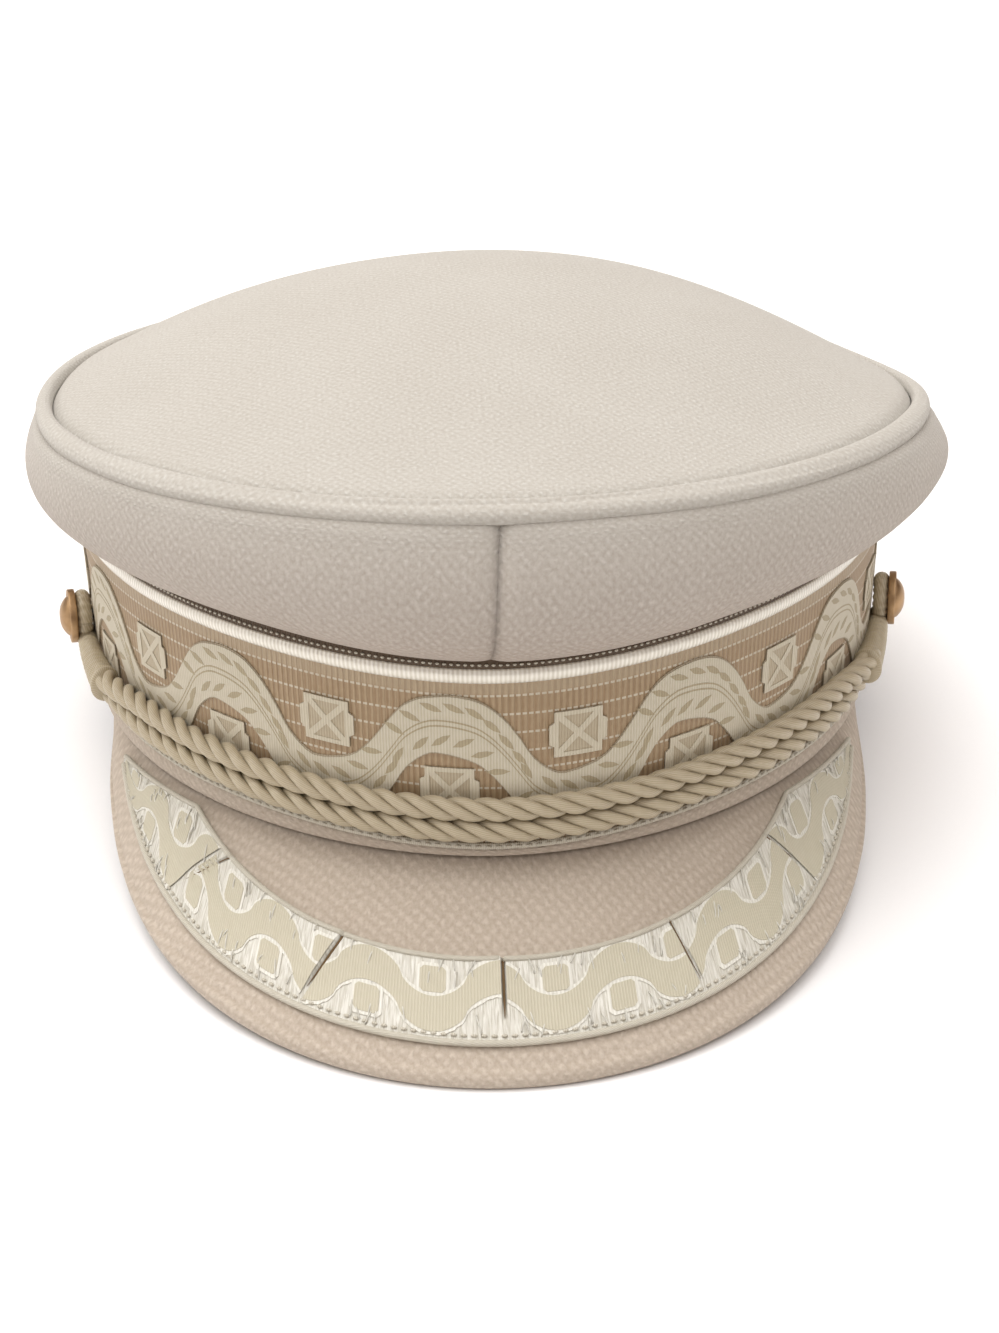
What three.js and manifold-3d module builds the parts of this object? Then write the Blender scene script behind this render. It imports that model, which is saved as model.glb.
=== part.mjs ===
// A skipper cap: a soft puffed crown over a stiff band that carries a woven ribbon,
// a double twisted cord between two side buttons, and a curved peak trimmed with ribbon.
// Millimetres, +Z up, the peak points along -Y. The cap is modelled upright on its head
// opening and is then tipped back until the peak's edge and the back of the band touch the floor.
import * as THREE from "three";
import { mergeVertices } from "three/addons/utils/BufferGeometryUtils.js";
import Module from "manifold-3d";

const wasm = await Module();
wasm.setup();

// Band: the stiff ring that sits on the head
const headWidth = 171.6; // across the outside of the band wall
const headLength = 201.6; // front to back, outside of the band wall
const headPower = 1.9; // 2 is an ellipse, less is more pointed at the front and back
const bandFlare = 0.05; // how far the wall leans outwards for each millimetre of height
const bandWall = 2.2;
const edgeHeight = 5.6; // the cloth roll that shows below the ribbon
const frontSag = 2.5; // the ribbon and all that follows it dip this much at the front
const sagPower = 12; // more makes the dip narrower
const edgeBulge = 1.1;

// Woven ribbon around the band
const ribbonWidth = 38;
const ribbonThickness = 0.9;

// Crown: two side panels, a welt and a domed top
const crownWidth = 197; // across the outside of the welt
const crownLength = 218;
const crownPower = 2.05;
const crownForward = 2.5; // the crown's centre lies ahead of the band's
const weltRise = 22.4; // mean height of the welt above the band's top
const weltFrontLift = 8.6; // the front of the welt stands this much above the mean
const sideBulge = 8;
const sideLift = 1.5; // how far the roll's underside is drawn up at the ears
const clothThickness = 2;
const weltWidth = 5.5;
const weltThickness = 3.4;
const weltLean = 0.44; // radians, outer side down
const domeRise = 25.1; // the top's centre above the mean height of the welt
const domePower = 1.24; // above 1 the dome is bell shaped
const seamGap = 0.4;

// Peak
const peakReach = 38; // ahead of the band
const peakDrop = 29.5; // below the band's bottom at the front
const peakWidth = 166;
const peakRootBack = 9; // the peak's corners lie this far ahead of the band's middle
const peakRoundness = 0.68; // less is a squarer outline
const peakHalfAngle = 84; // degrees, how far the peak follows the band from the front
const peakCornerEase = 0.22; // more makes the corners rise sooner
const peakTail = 1.2; // the corners lie this far below the band
const peakThickness = 3.2;
const peakArch = 1.6; // the middle of the peak stands above a straight line

// Ribbon on the peak
const peakRibbonWidth = 17.4;
const peakRibbonMargin = 7.2; // from the peak's edge at the front
const sideMargin = 10.5; // and at the corners
const peakRibbonThickness = 0.8;
const tuckHeight = 0.8;
// Where the ribbon is folded into a tuck: share of the way from the front to a corner
const tucks = [{ at: -0.66 }, { at: -0.37 }, { at: 0.02 }, { at: 0.45 }, { at: 0.72 }];

// Double twisted cord, its wound ends and the buttons
const cordDiameter = 4.4;
const cordHeight = 7.4; // centre of the lower cord above the band's bottom, at the front
const cordClimb = 4; // how much higher the cords run at the sides
const cordHalfAngle = 67; // degrees, where the twisted part ends
const buttonAngle = 77; // degrees from the front
const buttonHeight = 20.5;
const buttonDiameter = 12;
const buttonStandOff = 4.4; // space for the cord's loop under the button's head
const buttonHead = 2.6;
const shankDiameter = 3.4;
const loopWire = 3.7;
const sleeveThickness = 5.4; // of the cord's wound end, where it takes in both cords
const clearance = 0.3; // between pieces that touch

const ribbonFoot = edgeHeight + clearance;
const bandHeight = ribbonFoot + ribbonWidth; // the wall ends level with the ribbon
const ribbonFace = clearance + ribbonThickness; // outer face, out from the band's wall
const aroundSteps = 64;
const halfWidth = headWidth / 2;
const halfLength = headLength / 2;
const degrees = (d) => (d * Math.PI) / 180;

// Point of a superellipse at an angle from the front, positive towards +X.
function oval(width, length, power, angle) {
  const s = Math.sin(angle);
  const c = Math.cos(angle);
  const sum = Math.abs(s / width) ** power + Math.abs(c / length) ** power;
  const r = sum ** (-1 / power);
  return new THREE.Vector2(r * s, -r * c);
}

// Point on the band's outer wall, moved out by an offset.
function bandPoint(angle, height, offset) {
  const grown = offset + bandFlare * height;
  const p = oval(halfWidth + grown, halfLength + grown, headPower, angle);
  return new THREE.Vector3(p.x, p.y, height);
}

// How far the ribbon dips at an angle from the front
const sag = (angle) => frontSag * Math.max(0, Math.cos(angle)) ** sagPower;

// Joins sections, each a closed loop of points, into one closed skin. The loops of a ring
// join up again. An open run is closed at both ends by pairing its first and last points.
function loft(sections, ring) {
  const size = sections[0].length;
  const points = sections.flat();
  const faces = [];
  const runs = ring ? sections.length : sections.length - 1;
  for (let i = 0; i < runs; i++) {
    const here = i * size;
    const next = ((i + 1) % sections.length) * size;
    for (let j = 0; j < size; j++) {
      const k = (j + 1) % size;
      faces.push(here + j, next + j, next + k);
      faces.push(here + j, next + k, here + k);
    }
  }
  if (!ring) {
    const last = (sections.length - 1) * size;
    for (let low = 0, high = size - 1; high - low > 1; ) {
      faces.push(low, low + 1, high);
      faces.push(last + low, last + high, last + low + 1);
      low++;
      if (high - low > 1) {
        faces.push(low, high - 1, high);
        faces.push(last + low, last + high, last + high - 1);
        high--;
      }
    }
  }
  const g = new THREE.BufferGeometry().setFromPoints(points);
  g.setIndex(faces);
  return outwards(g);
}

// Merges shared points and turns the skin so that its faces point out.
function outwards(geometry) {
  const g = mergeVertices(geometry, 1e-4);
  const p = g.attributes.position;
  const index = g.index.array;
  let volume = 0;
  const [a, b, c] = [new THREE.Vector3(), new THREE.Vector3(), new THREE.Vector3()];
  for (let i = 0; i < index.length; i += 3) {
    a.fromBufferAttribute(p, index[i]);
    b.fromBufferAttribute(p, index[i + 1]);
    c.fromBufferAttribute(p, index[i + 2]);
    volume += a.dot(b.cross(c));
  }
  if (volume < 0) g.setIndex([...index].reverse());
  return g;
}

// Turns geometry into a manifold-3d solid, and back.
function solid(geometry) {
  const g = geometry.clone();
  g.deleteAttribute("normal");
  g.deleteAttribute("uv");
  const merged = mergeVertices(g, 1e-4);
  const vertProperties = new Float32Array(merged.attributes.position.array);
  const triVerts = new Uint32Array(merged.index.array);
  return new wasm.Manifold(new wasm.Mesh({ numProp: 3, vertProperties, triVerts }));
}

function geometryOf(manifold) {
  const mesh = manifold.getMesh();
  const g = new THREE.BufferGeometry();
  g.setAttribute("position", new THREE.BufferAttribute(mesh.vertProperties, 3));
  g.setIndex([...mesh.triVerts]);
  return g;
}

// A closed outline as it turns round the band: rows give how far out and how high, and
// whether they follow the ribbon's dip.
function bandRing(rows) {
  const sections = [];
  for (let i = 0; i < aroundSteps; i++) {
    const angle = (i / aroundSteps) * 2 * Math.PI;
    const dip = sag(angle);
    sections.push(
      rows.map((row) => bandPoint(angle, row.level ? row.up : row.up - dip, row.out)),
    );
  }
  return loft(sections, true);
}

// Band wall with the rolled cloth edge at its foot
function makeBand() {
  const corner = 0.8;
  return bandRing([
    { out: -bandWall, up: 0, level: true },
    { out: edgeBulge - corner, up: 0, level: true },
    { out: edgeBulge, up: corner, level: true },
    { out: edgeBulge, up: edgeHeight - corner },
    { out: edgeBulge - corner, up: edgeHeight },
    { out: 0, up: edgeHeight },
    { out: 0, up: bandHeight },
    { out: -bandWall, up: bandHeight },
  ]);
}

function makeBandRibbon() {
  return bandRing([
    { out: clearance, up: ribbonFoot },
    { out: ribbonFace, up: ribbonFoot },
    { out: ribbonFace, up: bandHeight },
    { out: clearance, up: bandHeight },
  ]);
}

// Height of the welt round the crown, and how far its section reaches below that
const weltDrop = Math.hypot(
  (weltWidth / 2) * Math.sin(weltLean),
  (weltThickness / 2) * Math.cos(weltLean),
);
const weltHeight = (angle) => bandHeight + weltRise + weltFrontLift * Math.cos(angle);

// Point of the crown's outline at a distance inside the welt's outer edge.
function crownOutline(angle, inset) {
  const w = crownWidth / 2 - inset;
  const l = crownLength / 2 - inset;
  const p = oval(w, l, crownPower, angle);
  return new THREE.Vector2(p.x, p.y - crownForward);
}

// Side panel, from the band's top, round the puffed roll and up to the welt.
// up is a share of the panel's height, out of the bulge, and lift of the ears' lift.
const sideProfile = [
  { up: 0, out: 0, lift: 0 },
  { up: 0.02, out: 0.2, lift: 0.3 },
  { up: 0.05, out: 0.44, lift: 0.8 },
  { up: 0.1, out: 0.68, lift: 1 },
  { up: 0.18, out: 0.87, lift: 0.8 },
  { up: 0.3, out: 1, lift: 0.4 },
  { up: 0.44, out: 1, lift: 0.1 },
  { up: 0.6, out: 0.84, lift: 0 },
  { up: 0.75, out: 0.58, lift: 0 },
  { up: 0.88, out: 0.3, lift: 0 },
  { up: 1, out: 0.04, lift: 0 },
];

function sideSection(angle) {
  const foot = bandHeight + clearance - sag(angle);
  const root = bandPoint(angle, foot, clearance);
  const rim = crownOutline(angle, 0);
  const rimHeight = weltHeight(angle) - weltDrop - clearance;
  const away = new THREE.Vector3(rim.x, rim.y + crownForward, 0).normalize();
  const outer = sideProfile.map((row) => {
    const blend = Math.max(0, row.up);
    const push = sideBulge * row.out;
    const lift = sideLift * row.lift * Math.sin(angle) ** 2;
    const p = new THREE.Vector3(rim.x, rim.y, 0).sub(root.clone().setZ(0));
    p.multiplyScalar(blend).add(root).addScaledVector(away, push);
    return p.setZ(foot + (rimHeight - foot) * row.up + lift);
  });
  const inner = outer.map((p, i) => {
    const along = outer[Math.min(outer.length - 1, i + 1)]
      .clone()
      .sub(outer[Math.max(0, i - 1)]);
    const run = new THREE.Vector2(along.dot(away), along.z).normalize();
    const inside = p.clone().addScaledVector(away, -run.y * clothThickness);
    inside.z += run.x * clothThickness;
    return inside;
  });
  inner[0].z = inner[1].z;
  inner[inner.length - 1].z = outer[outer.length - 1].z;
  return [...outer, ...inner.reverse()];
}

// One of the two side panels; they meet in a seam at the front and one at the back.
function makeCrownSide(side) {
  const sections = [];
  const steps = aroundSteps / 2;
  const trim = seamGap / crownLength;
  for (let i = 0; i <= steps; i++) {
    const angle = trim + (Math.PI - 2 * trim) * (i / steps);
    sections.push(sideSection(side * angle));
  }
  return loft(sections, false);
}

// The welt is a flat cloth roll between the side panels and the top.
function makeWelt() {
  const sides = 8;
  const sections = [];
  for (let i = 0; i < aroundSteps; i++) {
    const angle = (i / aroundSteps) * 2 * Math.PI;
    const centre = crownOutline(angle, weltWidth / 2);
    const away = centre.clone().add(new THREE.Vector2(0, crownForward)).normalize();
    const section = [];
    for (let j = 0; j < sides; j++) {
      const t = (j / sides) * 2 * Math.PI;
      const across = (Math.cos(t) * weltWidth) / 2;
      const over = (Math.sin(t) * weltThickness) / 2;
      const out = across * Math.cos(weltLean) + over * Math.sin(weltLean);
      const up = -across * Math.sin(weltLean) + over * Math.cos(weltLean);
      section.push(
        new THREE.Vector3(
          centre.x + away.x * out,
          centre.y + away.y * out,
          weltHeight(angle) + up,
        ),
      );
    }
    sections.push(section);
  }
  return loft(sections, true);
}

// Height of the domed top: reach is 0 at the centre and 1 at the welt.
function domeHeight(angle, reach) {
  const rim = weltHeight(angle) + weltThickness * 0.3;
  const peak = bandHeight + weltRise + domeRise;
  return rim + (peak - rim) * (1 - reach ** 2) ** domePower;
}

function makeCrownTop() {
  const rings = 8;
  const segments = aroundSteps * 0.75;
  const points = [];
  const faces = [];
  const skins = [0, -clothThickness];
  for (const depth of skins) {
    points.push(new THREE.Vector3(0, -crownForward, domeHeight(0, 0) + depth));
    for (let i = 1; i <= rings; i++)
      for (let j = 0; j < segments; j++) {
        const angle = (j / segments) * 2 * Math.PI;
        const reach = i / rings;
        const rim = crownOutline(angle, weltWidth + clearance);
        const x = rim.x * reach;
        const y = (rim.y + crownForward) * reach - crownForward;
        points.push(new THREE.Vector3(x, y, domeHeight(angle, reach) + depth));
      }
  }
  const skinSize = 1 + rings * segments;
  const at = (skin, ring, j) =>
    skin * skinSize + (ring ? 1 + (ring - 1) * segments + (j % segments) : 0);
  for (let j = 0; j < segments; j++) {
    for (let i = 0; i < rings; i++) {
      faces.push(at(0, i, j), at(0, i + 1, j), at(0, i + 1, j + 1));
      faces.push(at(1, i, j), at(1, i + 1, j + 1), at(1, i + 1, j));
      if (i) {
        faces.push(at(0, i, j), at(0, i + 1, j + 1), at(0, i, j + 1));
        faces.push(at(1, i, j), at(1, i, j + 1), at(1, i + 1, j + 1));
      }
    }
    faces.push(at(0, rings, j), at(1, rings, j), at(1, rings, j + 1));
    faces.push(at(0, rings, j), at(1, rings, j + 1), at(0, rings, j + 1));
  }
  const g = new THREE.BufferGeometry().setFromPoints(points);
  g.setIndex(faces);
  return outwards(g);
}

// The peak is ruled from the foot of the band to its outer edge. along runs from -1 at
// one corner to 1 at the other, across from 0 at the band to 1 at the edge.
function peakRoot(along) {
  return bandPoint(degrees(peakHalfAngle) * along, 0, -bandWall / 2).setZ(-clearance);
}

function peakEdge(along) {
  const turn = (Math.PI / 2) * (along + 0.12 * Math.sin(Math.PI * along));
  const c = Math.max(Math.cos(turn), 0);
  const front = halfLength + peakReach;
  const y = -peakRootBack - (front - peakRootBack) * c ** peakRoundness;
  const slope = peakDrop / (halfLength + front);
  const drop = Math.max(slope * (halfLength - y) * c ** peakCornerEase, peakTail);
  return new THREE.Vector3((peakWidth / 2) * Math.sin(turn), y, -drop);
}

function peakPoint(along, across) {
  const p = peakRoot(along).lerp(peakEdge(along), across);
  p.z += peakArch * 4 * across * (1 - across) * (1 - along ** 2);
  return p;
}

// Unit normal of the peak's upper face.
function peakNormal(along, across) {
  const step = 1e-3;
  const u = THREE.MathUtils.clamp(along, -1 + step, 1 - step);
  const v = THREE.MathUtils.clamp(across, step, 1 - step);
  const du = peakPoint(u + step, v).sub(peakPoint(u - step, v));
  const dv = peakPoint(u, v + step).sub(peakPoint(u, v - step));
  const normal = dv.cross(du).normalize();
  return normal.lerp(new THREE.Vector3(0, 0, 1), along ** 8).normalize();
}

// A point above or below the peak's upper face.
function offPeak(along, across, lift) {
  return peakPoint(along, across).addScaledVector(peakNormal(along, across), lift);
}

function makePeak() {
  const stations = 36;
  const columns = [0, 0.14, 0.28, 0.42, 0.56, 0.7, 0.84];
  const round = peakThickness / 2;
  const sections = [];
  for (let i = 0; i <= stations; i++) {
    const along = -1 + (2 * i) / stations;
    const depth = peakRoot(along).distanceTo(peakEdge(along));
    const rim = 1 - round / depth;
    const top = columns.map((v) => offPeak(along, v * rim, 0));
    const bottom = columns.map((v) => offPeak(along, v * rim, -peakThickness));
    bottom[0].z = Math.min(bottom[0].z, -clearance);
    const edge = [];
    for (const turn of [90, 45, 0, -45, -90]) {
      const t = degrees(turn);
      const across = rim + (Math.cos(t) * round) / depth;
      edge.push(offPeak(along, across, round * Math.sin(t) - round));
    }
    sections.push([...top, ...edge, ...bottom.reverse()]);
  }
  return loft(sections, false);
}

// How far across the peak its ribbon lies: outer and inner edge.
function ribbonSpan(along) {
  const step = 1e-3;
  const rule = peakEdge(along).sub(peakRoot(along));
  const tangent = peakEdge(along + step).sub(peakEdge(along - step)).normalize();
  const reach = rule.clone().cross(tangent).length();
  const margin = THREE.MathUtils.lerp(peakRibbonMargin, sideMargin, along ** 4);
  const seam = bandWall / 2 + edgeBulge + 3 * clearance;
  const outer = 1 - margin / reach;
  return { outer, inner: Math.max(outer - peakRibbonWidth / reach, seam / reach) };
}

// Ribbon sewn on the peak, with a tuck at each fold that dies away towards the edge
function makePeakRibbon() {
  const half = 0.012;
  const least = 0.06; // share of the peak's depth that the ribbon's ends still cover
  let end = 0.98;
  for (let span = ribbonSpan(end); span.outer - span.inner < least; span = ribbonSpan(end))
    end -= 0.002;
  const stations = [];
  for (let i = 0; i <= 40; i++) stations.push({ along: end * (i / 20 - 1), tuck: 0 });
  for (const tuck of tucks) {
    stations.push({ along: tuck.at - half, tuck: 0 });
    stations.push({ along: tuck.at, tuck: 1 });
    stations.push({ along: tuck.at + half / 2, tuck: 0 });
  }
  stations.sort((a, b) => a.along - b.along);
  const columns = [0, 0.33, 0.67, 1];
  const sections = stations.map(({ along, tuck }) => {
    const { outer, inner } = ribbonSpan(along);
    const place = (share, lift) =>
      offPeak(along, THREE.MathUtils.lerp(outer, inner, share), lift);
    const top = columns.map((share) =>
      place(share, clearance + peakRibbonThickness + tuck * tuckHeight * share),
    );
    const bottom = columns.map((share) => place(share, clearance));
    return [...top, ...bottom.reverse()];
  });
  return loft(sections, false);
}

// The two cords run round the front of the band, one above the other.
const cordOut = ribbonFace + clearance + cordDiameter / 2;
const cordPitch = cordDiameter + clearance; // from one cord's centre to the other's

// How far the cords have climbed at an angle from the front
const climb = (angle) => cordClimb * (1 - Math.max(0, Math.cos(angle)) ** 6);

function cordPath(height) {
  const points = [];
  const stations = 20;
  for (let i = 0; i <= stations; i++) {
    const angle = degrees(cordHalfAngle) * (-1 + (2 * i) / stations);
    points.push(bandPoint(angle, height + climb(angle), cordOut));
  }
  return new THREE.CatmullRomCurve3(points);
}

function makeCord(height) {
  const section = new THREE.Shape();
  section.absarc(0, 0, cordDiameter / 2, 0, 2 * Math.PI);
  const g = new THREE.ExtrudeGeometry(section, {
    steps: 26,
    curveSegments: 4,
    extrudePath: cordPath(height),
  });
  g.deleteAttribute("uv");
  g.deleteAttribute("normal");
  return outwards(g);
}

// The frame of a button: its seat on the ribbon, and the way out from the band.
function buttonSeat(side) {
  const angle = side * degrees(buttonAngle);
  const seat = bandPoint(angle, buttonHeight, ribbonFace + clearance);
  const step = 0.01;
  const before = bandPoint(angle - step, buttonHeight, 0);
  const after = bandPoint(angle + step, buttonHeight, 0);
  const along = after.sub(before).normalize();
  const out = along.clone().cross(new THREE.Vector3(0, 0, 1)).normalize();
  return { seat, out };
}

// Wound sleeve over both cords' ends, with the cord's own loop round the button's shank.
function makeCordEnd(side) {
  const { seat, out } = buttonSeat(side);
  const loopRadius = (shankDiameter + loopWire) / 2 + clearance;
  const loop = new THREE.TorusGeometry(loopRadius, loopWire / 2, 8, 20);
  const facing = new THREE.Quaternion().setFromUnitVectors(
    new THREE.Vector3(0, 0, 1),
    out,
  );
  const middle = seat.clone().addScaledVector(out, loopWire / 2 + clearance / 2);
  loop.applyQuaternion(facing).translate(middle.x, middle.y, middle.z);

  const cordMiddle = cordHeight + cordPitch / 2 + climb(degrees(cordHalfAngle));
  const stations = 9;
  const sides = 12;
  const sections = [];
  const startGap = clearance / halfWidth;
  for (let i = 0; i <= stations; i++) {
    const t = i / stations;
    const from = degrees(cordHalfAngle) + startGap;
    const angle = side * THREE.MathUtils.lerp(from, degrees(buttonAngle), t);
    const height = THREE.MathUtils.lerp(cordMiddle, buttonHeight - loopRadius, t ** 1.5);
    const tall = THREE.MathUtils.lerp(cordDiameter + cordPitch / 2, loopWire, t ** 0.7);
    const thick = THREE.MathUtils.lerp(sleeveThickness, loopWire, t);
    const tallRadius = tall / 2 + (1 - t);
    const centre = bandPoint(angle, height, ribbonFace + clearance + thick / 2);
    const away = new THREE.Vector3(centre.x, centre.y, 0).normalize();
    const section = [];
    for (let j = 0; j < sides; j++) {
      const turn = (j / sides) * 2 * Math.PI;
      section.push(
        centre
          .clone()
          .addScaledVector(away, (Math.cos(turn) * thick) / 2)
          .add(new THREE.Vector3(0, 0, Math.sin(turn) * tallRadius)),
      );
    }
    sections.push(section);
  }
  return geometryOf(solid(loft(sections, false)).add(solid(loop)));
}

// Domed metal button on a shank
function makeButton(side) {
  const { seat, out } = buttonSeat(side);
  const rim = buttonDiameter / 2;
  const neck = shankDiameter / 2;
  const profile = [
    [0, 0],
    [neck, 0],
    [neck, buttonStandOff],
    [rim - 0.5, buttonStandOff],
    [rim, buttonStandOff + 0.5],
    [rim * 0.93, buttonStandOff + buttonHead * 0.5],
    [rim * 0.72, buttonStandOff + buttonHead * 0.8],
    [rim * 0.38, buttonStandOff + buttonHead * 0.96],
    [0, buttonStandOff + buttonHead],
  ].map(([r, h]) => new THREE.Vector2(r, h));
  const g = new THREE.LatheGeometry(profile, 20);
  const upright = new THREE.Vector3(0, 1, 0);
  g.applyQuaternion(new THREE.Quaternion().setFromUnitVectors(upright, out));
  g.translate(seat.x, seat.y, seat.z);
  return g;
}

const wool = { color: "#ddd0c2", roughness: 0.95, metalness: 0 };
const jacquard = { color: "#d2c4a4", roughness: 0.7, metalness: 0 };
const rayon = { color: "#d8c9a6", roughness: 0.5, metalness: 0 };
const gilt = { color: "#b98a4a", roughness: 0.35, metalness: 0.8 };

const cap = new THREE.Group();
function piece(name, geometry, finish) {
  const mesh = new THREE.Mesh(geometry, new THREE.MeshStandardMaterial(finish));
  mesh.name = name;
  cap.add(mesh);
}

piece("crown_top", makeCrownTop(), wool);
piece("crown_welt", makeWelt(), wool);
piece("crown_side_left", makeCrownSide(-1), wool);
piece("crown_side_right", makeCrownSide(1), wool);
piece("band", makeBand(), wool);
piece("band_ribbon", makeBandRibbon(), jacquard);
piece("peak", makePeak(), wool);
piece("peak_ribbon", makePeakRibbon(), jacquard);
piece("cord_lower", makeCord(cordHeight), rayon);
piece("cord_upper", makeCord(cordHeight + cordPitch), rayon);
for (const [name, side] of [["left", -1], ["right", 1]]) {
  piece(`cord_end_${name}`, makeCordEnd(side), rayon);
  piece(`button_${name}`, makeButton(side), gilt);
}

// Lowest point of the tipped cap ahead of its middle, or behind it.
function lowest(group, ahead) {
  const found = new THREE.Vector3(0, 0, Infinity);
  const p = new THREE.Vector3();
  group.updateMatrixWorld(true);
  group.traverse((mesh) => {
    if (!mesh.isMesh) return;
    const at = mesh.geometry.attributes.position;
    for (let i = 0; i < at.count; i++) {
      p.fromBufferAttribute(at, i).applyMatrix4(mesh.matrixWorld);
      if (p.y < 0 === ahead && p.z < found.z) found.copy(p);
    }
  });
  return found;
}

// Tips the cap until front and back touch the floor together, and centres it there.
const part = new THREE.Group();
part.add(cap);
cap.rotation.x = -Math.atan(peakDrop / (headLength + peakReach));
for (let i = 0; i < 3; i++) {
  const front = lowest(part, true);
  const back = lowest(part, false);
  cap.rotation.x -= Math.atan((back.z - front.z) / (back.y - front.y));
}
part.updateMatrixWorld(true);
const box = new THREE.Box3().setFromObject(part, true);
cap.position.set(0, -(box.min.y + box.max.y) / 2, -box.min.z);

export default part;
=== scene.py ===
# %% [markdown]
# # A skipper's cap, in the frame of its CAD model
# The cap is a low, forward-leaning crown of cream wool over a woven ribbon, with a double
# twisted cord between two gilt buttons and a short curved peak trimmed with narrower
# ribbon. Each cloth is laid on the same curves as its CAD solid and then gets its seams,
# threads and stitches. Puff, creases and colours are set to match the real cap.

# %% Frame
import math
import random

import bmesh
import bpy
from mathutils import Matrix, Vector, noise


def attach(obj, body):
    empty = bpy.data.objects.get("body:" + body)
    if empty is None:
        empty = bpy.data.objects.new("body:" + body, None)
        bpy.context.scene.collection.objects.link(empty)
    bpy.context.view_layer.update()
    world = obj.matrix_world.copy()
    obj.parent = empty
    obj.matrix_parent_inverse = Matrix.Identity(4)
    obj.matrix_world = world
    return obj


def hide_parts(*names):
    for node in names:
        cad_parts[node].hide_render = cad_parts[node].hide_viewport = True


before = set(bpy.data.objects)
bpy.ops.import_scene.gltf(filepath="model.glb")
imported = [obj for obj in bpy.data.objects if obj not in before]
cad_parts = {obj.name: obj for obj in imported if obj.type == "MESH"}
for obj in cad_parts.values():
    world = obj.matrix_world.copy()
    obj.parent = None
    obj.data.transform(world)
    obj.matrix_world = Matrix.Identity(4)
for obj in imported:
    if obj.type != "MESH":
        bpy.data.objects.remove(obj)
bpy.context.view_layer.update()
bpy.ops.object.select_all(action="DESELECT")

# %% [markdown]
# ## The cap's own frame
# A cap is drawn level, with the band's foot at height 0 and the peak falling below it, but
# it rests tipped on the front of its peak and the back of its band. Working in the level
# frame keeps the formulas plain, so one function turns millimetres on the level cap into
# metres where the cap rests.

# %% From the level cap to where it rests
TIP = math.radians(7.474)
LEVEL_ORIGIN = (9.567, 14.508)  # how far the level frame lies off the resting one, mm


def rest(x, y, z):
    y, z = y + LEVEL_ORIGIN[0], z + LEVEL_ORIGIN[1]
    turned = (y * math.cos(TIP) + z * math.sin(TIP), z * math.cos(TIP) - y * math.sin(TIP))
    return Vector((x, *turned)) / 1000


print("front of the band's foot rests at", [round(v, 4) for v in rest(0, -100.8, 0)])

# %% [markdown]
# ## Camera and light
# The picture was taken from a little above the peak with a long lens, in a white studio
# with the light from above and the left. The camera is given by its place and by the
# directions of its right and up sides. A pale floor, a broad key from above and behind on
# the left, an overhead panel, a little window light and a dim room give soft shadows.

# %% Camera
bpy.ops.object.camera_add(location=(-0.01493, -0.53956, 0.33817))
camera = bpy.context.object
right = Vector((0.99931, -0.03698, -0.00448))
up = Vector((0.02276, 0.51105, 0.85925))
camera.rotation_euler = Matrix((right, up, right.cross(up))).transposed().to_euler()
camera.data.sensor_fit = "VERTICAL"
camera.data.sensor_height = 36
camera.data.lens = 74.86
bpy.context.scene.camera = camera
print("camera", [round(v, 3) for v in camera.location], "lens", camera.data.lens)

# %% Floor and lights
# name: direction that it comes from, angle it covers in degrees, strength, colour
LIGHTS = {
    "key": ((-0.3, 0.4, 0.85), 60, 1.5, (1.0, 1.0, 1.0)),
    "overhead": ((0.05, -0.05, 1.0), 85, 2.6, (1.0, 1.0, 1.0)),
    "window": ((-0.95, -0.15, 0.5), 50, 0.65, (1.0, 1.0, 1.0)),
}
for name, (source, angle, strength, colour) in LIGHTS.items():
    bpy.ops.object.light_add(type="SUN", location=source)
    light = bpy.context.object
    light.name = name
    light.data.angle = math.radians(angle)
    light.data.energy = strength
    light.data.color = colour
    light.rotation_euler = Vector(source).to_track_quat("Z", "Y").to_euler()
world = bpy.data.worlds.new("white_room")
world.use_nodes = True
world.node_tree.nodes["Background"].inputs["Color"].default_value = (1, 0.84, 0.77, 1)
world.node_tree.nodes["Background"].inputs["Strength"].default_value = 0.33
bpy.context.scene.world = world
# white paper has to come out white, as in a catalogue picture
bpy.context.scene.view_settings.view_transform = "Standard"

bpy.ops.mesh.primitive_plane_add(size=6, location=(0, 1.0, 0))
floor = bpy.context.object
floor.name = "floor"
bpy.ops.object.mode_set(mode="EDIT")
bpy.ops.mesh.select_all(action="SELECT")
bpy.ops.mesh.subdivide(number_cuts=3)
bpy.ops.object.mode_set(mode="OBJECT")
bpy.ops.object.transform_apply(location=True)
print("lights:", ", ".join(LIGHTS))

# %% [markdown]
# ## Materials
# Every finish here is textile but one. Colours are written as sRGB hex, as a dyer's card
# would be, and turned to linear for the shader. One small function adds a node with its
# settings and links; the patterns run on UV maps in millimetres, laid as the cloth was cut,
# so a scale is simply one over a thread spacing.

# %% Colour and node helpers
def linear(code):
    """sRGB hex to linear RGBA."""
    parts = [int(code[i : i + 2], 16) / 255 for i in (0, 2, 4)]
    curve = [v / 12.92 if v <= 0.04045 else ((v + 0.055) / 1.055) ** 2.4 for v in parts]
    return (*curve, 1.0)


def node(tree, kind, settings=None, links=None):
    """Adds a node: settings are its properties or socket values, links its sources."""
    made = tree.nodes.new(kind)
    for key, value in (settings or {}).items():
        if isinstance(key, str) and hasattr(made, key):
            setattr(made, key, value)
        else:
            made.inputs[key].default_value = value
    for key, source in (links or {}).items():
        tree.links.new(source, made.inputs[key])
    return made


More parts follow.
